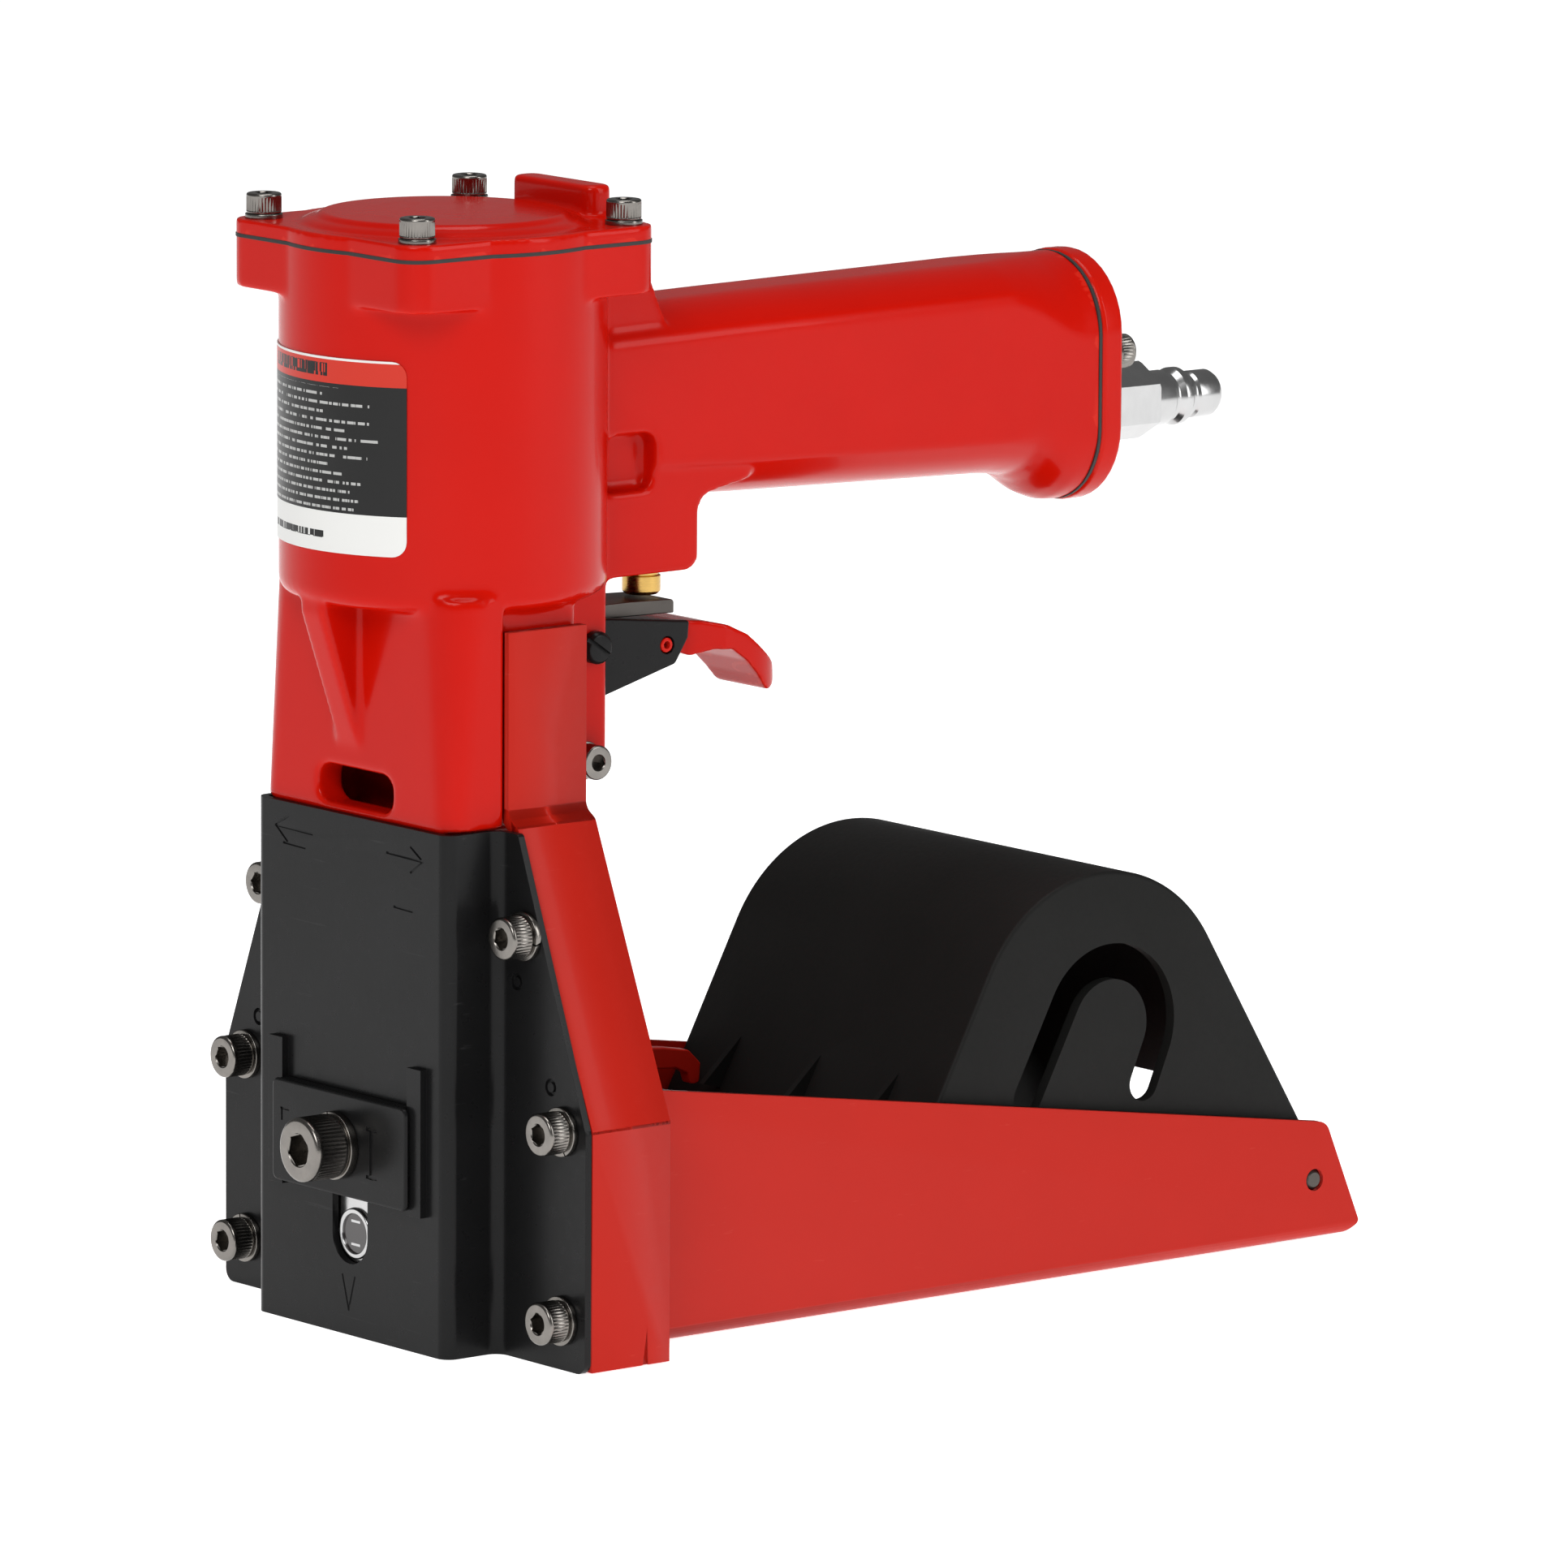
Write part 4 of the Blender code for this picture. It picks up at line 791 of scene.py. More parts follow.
@dataclass(frozen=True)
class LabelPrint:
    """The printed film round the barrel: a red, a black and a white band with plain bars for text."""

    name: str = "label print"
    radius: float = 32.75
    red_foot: float = 192.7
    black_foot: float = 167.2
    white_foot: float = 159.2
    top: float = 197.8
    outline: float = 0.45
    column: Span = (23.2, 26.6)
    square: float = 6.2
    pitch: float = 1.72
    row_start: float = -20.5
    row_length: Span = (24.0, 14.0)
    heading_z: Span = (194.0, 196.6)
    heading: Span = (-17.0, 5.0)
    footing_z: Span = (161.9, 163.3)
    footing: Span = (-18.0, 4.0)
    red: Colour = (0.55, 0.03, 0.015)
    black: Colour = (0.012, 0.012, 0.012)
    white: Colour = (0.72, 0.72, 0.70)
    ink: Colour = (0.010, 0.010, 0.010)
    row_ink: Colour = (0.42, 0.42, 0.41)
    square_ink: Colour = (0.10, 0.09, 0.09)
    gloss: float = 0.2
    coat: float = 0.08

    def strokes(self, shader: Shader, along: Wire, row: Wire) -> Wire:
        """Noise that breaks each row of plain bars into short lengths."""
        place = shader.node("ShaderNodeCombineXYZ", {}, {0: along, 1: row * 3.0})
        sockets = {"Vector": place, "Scale": 1.35, "Detail": 2.0}
        return shader.node("ShaderNodeTexNoise", {"noise_dimensions": "2D"}, sockets, "Fac")

    def material(self) -> bpy.types.Material:
        """Builds the material from height and from the arc round the barrel."""
        shader = Shader(self.name)
        axis = tool_origin()
        parts = [
            shader.node("ShaderNodeSeparateXYZ", {}, {0: shader.place}, letter) for letter in "XYZ"
        ]
        x, y, z = parts[0] - axis.x, parts[1] - axis.y, parts[2] * (1.0 / MM)
        turn = shader.node("ShaderNodeMath", {"operation": "ARCTAN2"}, {0: y, 1: x * -1.0})
        along = turn * -self.radius
        in_black = z.between(self.black_foot, self.red_foot)
        in_red = z > self.red_foot
        rows = (z - self.black_foot) / self.pitch
        row = rows.floor()
        hashed = {"noise_dimensions": "1D"}
        share = shader.node("ShaderNodeTexWhiteNoise", hashed, {"W": row + 7.0}, "Value")
        end = self.row_start + self.row_length[0] + share * self.row_length[1]
        broken = self.strokes(shader, along, row)
        in_row = rows.fraction().between(0.34, 0.66)
        bars = in_black * in_row * along.between(self.row_start, end) * (broken > 0.46)
        gap = z.between(self.black_foot + 0.6, self.red_foot - 0.8)
        heading = z.between(*self.heading_z) * along.between(*self.heading) * (broken > 0.42)
        footing = z.between(*self.footing_z) * along.between(*self.footing) * (broken > 0.40)
        squares = ((z - self.black_foot) / self.square).fraction().between(0.18, 0.82)
        column = in_black * along.between(*self.column)
        marks = column * squares * along.between(self.column[0] + 0.6, self.column[1] - 0.6)
        rim = (z < self.white_foot + self.outline) + (z > self.top - self.outline)
        layers = (
            (in_black, self.black), (in_red, self.red), (bars * gap, self.row_ink),
            (heading, self.ink), (footing, self.black), (column, self.white),
            (marks, self.square_ink), (rim, self.white),
        )
        colour: Value = self.white
        for mask, ink in layers:
            colour = shader.mix(mask, colour, ink)
        shader.surface.inputs["Specular IOR Level"].default_value = self.gloss
        shader.bump(shader.noise(700.0, 2.0), 0.01)
        rough = 0.30 + 0.10 * shader.noise(300.0)
        return shader.finish(base_color=colour, roughness=rough, coat_weight=self.coat)


class PaintShop:
    """Every material of the tool, by the record's slot, and a few special ones."""

    FINISHES: dict[str, Finish] = {
        Slot.RED_ENAMEL: CastEnamel(
            "red enamel", (0.52, 0.0050, 0.0008), (0.48, 0.0042, 0.0007), (0.15, 0.24), coat=0.08,
            coat_rough=0.04, relief=0.010, gloss=0.08,
        ),
        Slot.RED_SHEET: SheetLacquer(
            "red sheet lacquer", (0.45, 0.013, 0.006), (0.42, 0.012, 0.005), (0.30, 0.40),
            coat=0.03, relief=0.008, gloss=0.11, grain=1300.0, scuff=(0.70, 0.14, 0.10), scuffing=0.10,
        ),
        Slot.BLACK_SHEET: SheetLacquer(
            "black sheet lacquer", (0.006, 0.006, 0.006), (0.010, 0.010, 0.0105), (0.24, 0.34),
            coat=0.03, coat_rough=0.15, gloss=0.12, relief=0.008, grain=1200.0, scuff=(0.10, 0.10, 0.10),
        ),
        Slot.BLACK_PLASTIC: MouldedPlastic(
            "black moulded plastic", (0.007, 0.007, 0.0065), (0.010, 0.010, 0.0095), (0.48, 0.60),
            relief=0.025, gloss=0.12, grain=2600.0,
        ),
        Slot.DARK_NICKEL: TurnedMetal(
            "dark nickel", (0.24, 0.225, 0.205), (0.16, 0.15, 0.14), (0.18, 0.30), metallic=1.0,
            relief=0.006, mottle=300.0, grain=1800.0,
        ),
        Slot.BRIGHT_NICKEL: TurnedMetal(
            "bright nickel", (0.52, 0.52, 0.52), (0.44, 0.44, 0.44), (0.16, 0.26), metallic=1.0,
            relief=0.004, mottle=200.0, grain=900.0, stretch=(4.0, 1.0, 1.0),
        ),
        Slot.STEEL: TurnedMetal(
            "bare steel", (0.42, 0.41, 0.39), (0.30, 0.285, 0.27), (0.28, 0.44), metallic=1.0,
            relief=0.008, mottle=120.0, grain=1100.0, stretch=(0.3, 1.0, 1.0),
        ),
        Slot.BRASS: TurnedMetal(
            "turned brass", (0.62, 0.40, 0.12), (0.46, 0.28, 0.08), (0.20, 0.34), metallic=1.0,
            relief=0.006, mottle=160.0, grain=800.0, stretch=(1.0, 1.0, 6.0),
        ),
        Slot.ALUMINIUM: TurnedMetal(
            "turned aluminium", (0.72, 0.72, 0.73), (0.60, 0.60, 0.61), (0.26, 0.40), metallic=1.0,
            relief=0.006, grain=900.0, stretch=(6.0, 1.0, 1.0),
        ),
        Slot.RUBBER: Finish(
            "seal rubber", (0.014, 0.013, 0.013), (0.022, 0.021, 0.020), (0.60, 0.75),
            relief=0.03, grain=1500.0,
        ),
    }

    def __init__(self) -> None:
        """Builds the materials."""
        self.by_slot = {slot: finish.material() for slot, finish in self.FINISHES.items()}
        self.by_slot[Slot.LABEL_FILM] = LabelPrint().material()
        self.blued_steel = TurnedMetal(
            "blued steel", (0.105, 0.095, 0.088), (0.075, 0.068, 0.062), (0.34, 0.48),
            metallic=1.0, relief=0.010, mottle=150.0, grain=900.0, stretch=(0.3, 1.0, 1.0),
        ).material()
        self.inlay = Finish(
            "window disc", (0.012, 0.010, 0.010), (0.022, 0.012, 0.012), (0.18, 0.28),
            coat=0.5, relief=0.004,
        ).material()

    def __getitem__(self, slot: Slot) -> bpy.types.Material:
        """The material of a slot."""
        return self.by_slot[slot]

    def dress_nodes(self) -> None:
        """Gives every CAD node that still shows its slot's material."""
        for part in frame["record"]["subparts"]:
            for holder in frame["nodes"][part["node"]].material_slots:
                holder.link = "OBJECT"
                holder.material = self.by_slot[part["material_slot"]]


# ---------------------------------------------------------------- casting and cap


@dataclass(frozen=True)
class Deck:
    """The joint between cylinder and cap: a rounded square over the barrel's circle."""

    radius: float = 32.6
    reach: Span = (31.1, 30.5)
    lug: float = 5.5

    def plate(self, z: Span, grow: float = 0.0) -> Solid:
        """A plate of the joint's outline between two heights."""
        x, y = self.reach[0] + grow, self.reach[1] + grow
        square = Solid.prism(rectangle((-x, x), (-y, y), self.lug + grow), Axis.Z, z)
        disc = Solid.turned(
            [(0, z[0]), (self.radius + grow, z[0]), (self.radius + grow, z[1]), (0, z[1])],
            Axis.Z,
            steps=120,
        )
        return square.join(disc)


@dataclass(frozen=True)
class HandleForm:
    """The grip's section: flat flanks between two creases, with a crown above and below."""

    half: float = 16.5
    crease: float = 2.2
    keel: float = 8.2
    crown: float = 5.4
    flat: float = 9.8
    dome: float = 15.0

    def section(self, low: float, high: float, roundness: float) -> list[Corner]:
        """Corners (y, z) of one section.

        Args:
            low: Lowest point.
            high: Highest point.
            roundness: 0 for the creased section, 1 where above and below are full half circles.

        Returns:
            The corners, with their radii.
        """
        side, full = self.half, self.half * math.tan(math.pi / 8)

        def blend(first: float, last: float) -> float:
            """The value between the creased and the round section."""
            return first + (last - first) * roundness

        keel, crown = (blend(depth, side - full) for depth in (self.keel, self.crown))
        flat, crease, dome = blend(self.flat, full), blend(self.crease, 15.6), blend(self.dome, 15.6)
        return [
            (-side, low + keel, crease), (-side, high - crown, crease), (-flat, high, dome),
            (flat, high, dome), (side, high - crown, crease), (side, low + keel, crease),
            (flat, low, dome), (-flat, low, dome),
        ]


@dataclass
class Casting:
    """The housing: barrel, nose, spine, valve block, ears and grip in one enamelled casting."""

    shop: PaintShop
    deck: Deck = Deck()
    form: HandleForm = HandleForm()
    floor_z: float = 148.0
    deck_z: float = 218.25
    bore: float = 27.5
    nose_half: float = 31.0
    nose_face: Span = (-22.0, -21.8)
    nose_step: float = -8.5
    nose_back: float = 12.0
    nose_foot: float = 98.0
    cover_top: float = 105.0
    end_x: float = 155.95
    stem_x: float = 50.1
    stem_bore: float = 5.8
    deck_foot: float = 208.3
    waist: float = 28.7
    ear: Span = (10.4, 14.0)
    fin_y: Span = (-1.8, 5.6)
    pocket_x: Span = (28.5, 41.0)
    pocket_z: Span = (166.4, 178.0)
    pocket_depth: float = 12.0
    voxel: float = 0.62
    smoothing: int = 11
    budget: int = 150_000

    def barrel(self) -> Solid:
        """The cylinder's outside with its square deck."""
        top = self.deck_z + 3.0
        profile = [(0, self.floor_z), (self.deck.radius, self.floor_z, 3.2)]
        profile += [(self.deck.radius, top), (0, top)]
        body = Solid.turned(profile, Axis.Z, steps=180, rounding=8)
        return body.join(self.deck.plate((self.deck_foot, top)))

    def nose(self) -> Solid:
        """The square column under the barrel, with its tongue, hollow and slot."""
        half, step = self.nose_half, self.nose_step

        def front(face: float, radius: float) -> list[Corner]:
            """The front part's outline."""
            return [(face, -half, radius), (step, -half), (step, half), (face, half, radius)]

        low, high = self.cover_top, self.floor_z + 3.0
        sections = [(low, front(self.nose_face[0], 4.5)), (high, front(self.nose_face[1], 9.0))]
        column = Solid.loft(sections, Axis.Z)
        side, back = self.waist, self.nose_back
        waist = [(-12.0, -side), (back, -side, 2.5), (back, side, 2.5), (-12.0, side)]
        column.join(Solid.prism(waist, Axis.Z, (low, high)))
        column.join(Solid.block((-20.9, 11.0), (-27.5, 27.5), (self.nose_foot, low + 3.0)))
        slot = Solid.prism(rectangle((-12.25, 12.25), (106.5, 114.1), 3.4), Axis.X, (-30.0, -12.0))
        return column.cut(Solid.block((-15.5, -3.8), (-24.0, 24.0), (93.0, 139.0)), slot)

    def fin(self) -> Solid:
        """The gusset under the barrel's front overhang."""
        outline = [(-15.0, 151.5), (-31.4, 151.5), (-31.4, 146.3), (-21.6, 117.5), (-15.0, 115.0)]
        return Solid.prism(outline, Axis.Y, self.fin_y)

    def spine(self) -> Solid:
        """The driver's guide behind the cover."""
        block = Solid.block((-1.7, 9.0), (-28.0, 28.0), (24.0, 100.0))
        return block.cut(Solid.block((-5.0, 1.8), (-18.2, 18.2), (20.0, 104.0)))

    def valve_block(self) -> Solid:
        """The block that carries the trigger valve."""
        foot = self.floor_z + 1.3
        outline = [(15.0, foot), (53.0, foot, 3.0), (53.0, 164.0, 4.0), (66.0, 166.5), (66.0, 188.0)]
        outline += [(46.5, 195.5, 5.0), (39.8, 210.4, 3.0), (15.0, 210.4)]
        return Solid.prism(outline, Axis.Y, (-15.0, 15.0))

    def pockets(self) -> list[Solid]:
        """The cutters of the shallow pocket in each flank, between the block and the grip."""
        outline = rectangle(self.pocket_x, self.pocket_z, 2.5)
        return [
            Solid.prism(outline, Axis.Y, flank(side, self.pocket_depth, 20.0)) for side in (-1, 1)
        ]

    def ears(self) -> list[Solid]:
        """The two cheeks that hold the trigger."""
        top = self.floor_z + 3.5
        outline = [(8.0, top), (30.6, top), (30.6, 109.0, 5.5), (17.0, 108.8, 6.0), (8.0, 116.0)]
        return [Solid.prism(outline, Axis.Y, flank(side, *self.ear)) for side in (-1, 1)]

    def grip(self) -> Solid:
        """The handle, with the flare under its end."""
        stations = (
            (26.0, 164.2, 202.4, 0.0),
            (68.0, 162.3, 203.2, 0.0),
            (134.0, 160.4, 204.1, 0.03),
            (141.0, 159.6, 204.3, 0.35),
            (145.0, 157.6, 204.4, 0.62),
            (149.0, 154.6, 204.4, 0.88),
            (152.5, 153.2, 204.4, 1.0),
            (159.0, 152.8, 204.4, 1.0),
        )
        return Solid.loft([(x, self.form.section(*rest)) for x, *rest in stations], Axis.X)

    def passages(self) -> list[Solid]:
        """The cylinder's bore, the driver's slot and the valve's bore."""
        return [
            Solid.rod(self.bore, Axis.Z, (self.floor_z + 4.2, 240.0), (0, 0, 0), 96),
            Solid.block((-1.8, 1.8), (-17.9, 17.9), (self.nose_foot - 2.0, 160.0)),
            Solid.rod(self.stem_bore, Axis.Z, (140.0, 175.0), (self.stem_x, 0, 0)),
        ]

    def build(self) -> None:
        """Builds the housing and delivers it."""
        body = self.barrel().join(
            self.nose(), self.fin(), self.spine(), self.valve_block(), self.grip(), *self.ears()
        )
        body.cut(*self.pockets()).cast(self.voxel, self.smoothing, self.budget)
        body.trim((0, 0, self.deck_z), (0, 0, 1)).trim((self.end_x, 0, 0), (1, 0, 0))
        body.cut(*self.passages())
        body.deliver(
            "housing_casting", Body.HOUSING, Slot.RED_ENAMEL, self.shop[Slot.RED_ENAMEL],
            ("body_housing",), sharp=50.0,
        )


@dataclass
class Cap:
    """The cylinder's cap with its soft pad and exhaust block, and the seal under it."""

    shop: PaintShop
    deck: Deck = Deck()
    foot: float = 218.95
    flange_top: float = 221.7
    pad_top: float = 224.0
    pad_radius: float = 25.2
    block_x: Span = (26.3, 32.8)
    block_half: float = 13.0
    block_top: float = 228.0
    vents: tuple = (-8.0, 0.0, 8.0)
    vent_half: float = 3.0
    vent_z: Span = (223.6, 226.2)
    screw_seat: float = 4.15
    voxel: float = 0.42
    smoothing: int = 9
    budget: int = 90_000

    def pad(self) -> Solid:
        """The raised round pad with its soft step and low crown."""
        profile = [
            (0, 219.5), (28.2, 219.5), (28.2, 222.1, 0.6), (26.6, 222.75, 1.2),
            (self.pad_radius, 223.0, 0.8), (self.pad_radius - 0.9, self.pad_top - 0.15, 0.8),
            (16.0, self.pad_top, 8.0), (0, self.pad_top + 0.08),
        ]
        return Solid.turned(profile, Axis.Z, steps=160, rounding=6)

    def exhaust(self) -> Solid:
        """The block with three exhaust vents at the cap's back."""
        outline = rectangle(self.block_x, (-self.block_half, self.block_half), 2.6)
        return Solid.prism(outline, Axis.Z, (220.0, self.block_top)).soften(0.9, 3)

    def build(self) -> None:
        """Builds the cap and its seal."""
        cap = self.deck.plate((self.foot - 2.0, self.flange_top + 0.1)).join(self.pad(), self.exhaust())
        half = self.vent_half
        vents = [rectangle((y - half, y + half), self.vent_z, 1.2) for y in self.vents]
        cap.cut(*[Solid.prism(vent, Axis.X, (29.5, 38.0)) for vent in vents])
        cap.cast(self.voxel, self.smoothing, self.budget)
        cap.trim((0, 0, self.foot), (0, 0, -1))
        seats = [
            Solid.rod(self.screw_seat, Axis.Z, (self.flange_top - 0.05, self.pad_top + 3.0), middle(name), 48)
            for name in (f"cap_screw_{i}" for i in range(1, 5))
        ]
        cap.cut(Solid.rod(18.0, Axis.Z, (210.0, 222.4), (0, 0, 0), 72), *seats)
        cap.deliver(
            "cap_casting", Body.HOUSING, Slot.RED_ENAMEL, self.shop[Slot.RED_ENAMEL],
            ("cylinder_cap",), sharp=50.0,
        )
        seal = self.deck.plate((218.22, 218.98), 0.12).cut(Solid.rod(26.0, Axis.Z, (200, 230), (0, 0, 0), 72))
        seal.deliver(
            "cap_seal", Body.HOUSING, Slot.RUBBER, self.shop[Slot.RUBBER], ("cap_gasket",), edge=0.12
        )


@dataclass
class LabelFilm:
    """The printed film wrapped round the barrel's front."""

    shop: PaintShop
    radius: float = 32.62
    thick: float = 0.28
    z: Span = (159.2, 197.8)
    turn: Span = (-50.0, 40.0)
    corner: float = 3.0
    strips: int = 30

    def build(self) -> None:
        """Cuts a flat film into strips, then wraps it round the barrel."""
        reach = [math.radians(angle) * self.radius for angle in self.turn]
        film = Solid.prism(rectangle(tuple(reach), self.z, self.corner), Axis.Y, (0.0, self.thick), 6)
        mesh = film.mesh
        for i in range(1, self.strips):
            place = reach[0] + (reach[1] - reach[0]) * i / self.strips
            geometry = mesh.verts[:] + mesh.edges[:] + mesh.faces[:]
            bmesh.ops.bisect_plane(mesh, geom=geometry, plane_co=(place, 0, 0), plane_no=(1, 0, 0))
        for vert in mesh.verts:
            angle, out = vert.co.x / self.radius, self.radius + vert.co.y
            vert.co.x, vert.co.y = -out * math.cos(angle), -out * math.sin(angle)
        film.deliver(
            "label_wrap", Body.HOUSING, Slot.LABEL_FILM, self.shop[Slot.LABEL_FILM], ("label",), sharp=40.0
        )


# ---------------------------------------------------------------- screws


@dataclass(frozen=True)
class SocketScrew:
    """A cap screw with a knurled head, a hexagon socket and a spring washer under it."""

    head: float
    height: float
    shank: float
    reach: float
    washer: float
    washer_height: float
    key: float
    grooves: int = 36
    groove: float = 0.2
    banded: Span = (0.11, 0.81)
    split: float = 24.0

    def head_solid(self) -> Solid:
        """The knurled head, with its foot at z 0."""
        r, h = self.head, self.height
        profile = [(0, 0), (r - 0.1, 0, 0.1), (r, 0.09 * h), (r, 0.13 * h), (r, 0.78 * h)]
        profile += [(r, 0.84 * h), (r, h, 0.13 * r), (0, h)]
        head = Solid.turned(profile, Axis.Z, steps=2 * self.grooves)
        for vert in head.mesh.verts:
            column = round(math.atan2(vert.co.y, vert.co.x) * self.grooves / math.pi)
            low, high = self.banded
            banded = low * h < vert.co.z < high * h and vert.co.xy.length > r - 0.02
            if banded and column % 2:
                vert.co.xy *= 1.0 - self.groove / r
        radius = self.key / 2 / math.cos(math.pi / 6)
        socket = Solid.rod(radius, Axis.Z, (h * 0.42, h + 1.0), (0, 0, 0), 6)
        mouth = [(0, h - 0.22), (radius - 0.22, h - 0.22), (radius + 0.35, h + 0.35), (0, h + 0.35)]
        return head.cut(socket, Solid.turned(mouth, Axis.Z, steps=2 * self.grooves))

    def build(self) -> Solid:
        """The whole screw, standing on z 0 with its shank below."""
        w, t = self.washer, self.washer_height
        ring = Solid.turned(
            [(self.shank, 0.02), (w, 0.02, 0.18), (w, t - 0.06, 0.18), (self.shank, t - 0.06)],
            Axis.Z, steps=64, rounding=3,
        )
        split = Solid.block((self.shank - 1.0, w + 1.0), (-0.16, 0.16), (-1.0, t + 1.0))
        split.turn(Matrix.Rotation(math.radians(self.split), 4, "X"))
        ring.cut(split)
        shank = Solid.turned(
            [(0, -self.reach), (self.shank, -self.reach, 0.3), (self.shank, t + 0.2), (0, t + 0.2)],
            Axis.Z, steps=32, rounding=2,
        )
        return self.head_solid().turn(Matrix.Translation((0, 0, t))).add(ring, shank)


@dataclass
class Screws:
    """Every socket screw that shows, and the slotted pivot screw."""

    shop: PaintShop
    m4: SocketScrew = SocketScrew(3.5, 4.0, 2.0, 12.0, 3.75, 1.15, 3.0)
    m4_end: SocketScrew = SocketScrew(3.5, 4.0, 2.0, 15.6, 3.75, 1.1, 3.0)
    m4_ear: SocketScrew = SocketScrew(3.5, 3.9, 2.0, 28.0, 3.8, 0.5, 3.0)
    m5: SocketScrew = SocketScrew(4.25, 5.0, 2.5, 4.4, 4.95, 1.3, 4.0, 42, 0.21)
    m8: SocketScrew = SocketScrew(6.5, 8.0, 3.9, 13.0, 6.85, 1.9, 6.0, 56, 0.22)

    def place(self, screw: SocketScrew, nodes: Sequence[str], seat: float, axis: Axis, sign: int) -> None:
        """Delivers a copy of a screw for each node.

        Args:
            screw: The screw.
            nodes: The CAD nodes it stands for.
            seat: Where the washer sits on the axis.
            axis: The screw's axis.
            sign: 1 where the head points up the axis, or -1.
        """
        pattern = screw.build()
        column = axis.value.index((0, 0, 1))
        direction = Vector((0, 0, 0))
        direction[column] = sign
        lean = Vector((0, 0, 1)).rotation_difference(direction).to_matrix().to_4x4()
        for i, node in enumerate(nodes):
            place = middle(node)
            place[column] = seat
            spin = Matrix.Rotation(math.radians(17.0 + 49.0 * i), 4, "Z")
            twin = pattern.copy().turn(Matrix.Translation(place) @ lean @ spin)
            body = Body.ADJUSTER if node == "adjuster_screw" else Body.HOUSING
            material = self.shop[Slot.DARK_NICKEL]
            twin.deliver(f"{node}_fitted", body, Slot.DARK_NICKEL, material, (node,), sharp=32.0)
        pattern.mesh.free()

    def pivot(self) -> None:
        """The slotted screw that the trigger turns on."""
        x, _, z = middle("trigger_pivot_screw")
        profile = [(0, -13.8), (2.0, -13.8), (2.0, 14.1), (3.3, 14.1), (3.3, 15.6, 0.3)]
        profile += [(2.7, 16.4, 0.5), (0, 16.5)]
        screw = Solid.turned(profile, Axis.Y, (0, 0, 0), 48).turn(Matrix.Diagonal((1, -1, 1, 1)))
        slot = Solid.block((-5.0, 5.0), (-17.5, -15.5), (-0.45, 0.45))
        screw.tidy().cut(slot.turn(Matrix.Rotation(math.radians(35.0), 4, "Y")))
        screw.turn(Matrix.Translation((x, 0, z)))
        screw.deliver(
            "pivot_screw_fitted", Body.HOUSING, Slot.BLACK_SHEET, self.shop[Slot.BLACK_SHEET],
            ("trigger_pivot_screw",), sharp=35.0,
        )

    def build(self) -> None:
        """Places every screw."""
        self.place(self.m4, [f"cap_screw_{i}" for i in range(1, 5)], 221.66, Axis.Z, 1)
        self.place(self.m4_end, [f"end_cap_screw_{i}" for i in range(1, 4)], 162.3, Axis.X, 1)
        self.place(self.m4_ear, ["ear_screw"], -14.0, Axis.Y, -1)
        self.place(self.m5, [f"cover_screw_{i}" for i in range(1, 7)], -9.9, Axis.X, -1)
        self.place(self.m8, ["adjuster_screw"], -26.0, Axis.X, -1)
        self.pivot()


# ---------------------------------------------------------------- nose


def stroke(start: Span, end: Span, width: float) -> list[Corner]:
    """Corners of a straight stroke between two points."""
    a, b = Vector(start), Vector(end)
    along = (b - a).normalized() * (width / 2)
    across = Vector((-along.y, along.x))
    corners = (a - along + across, b + along + across, b + along - across, a - along - across)
    return [tuple(corner) for corner in corners]


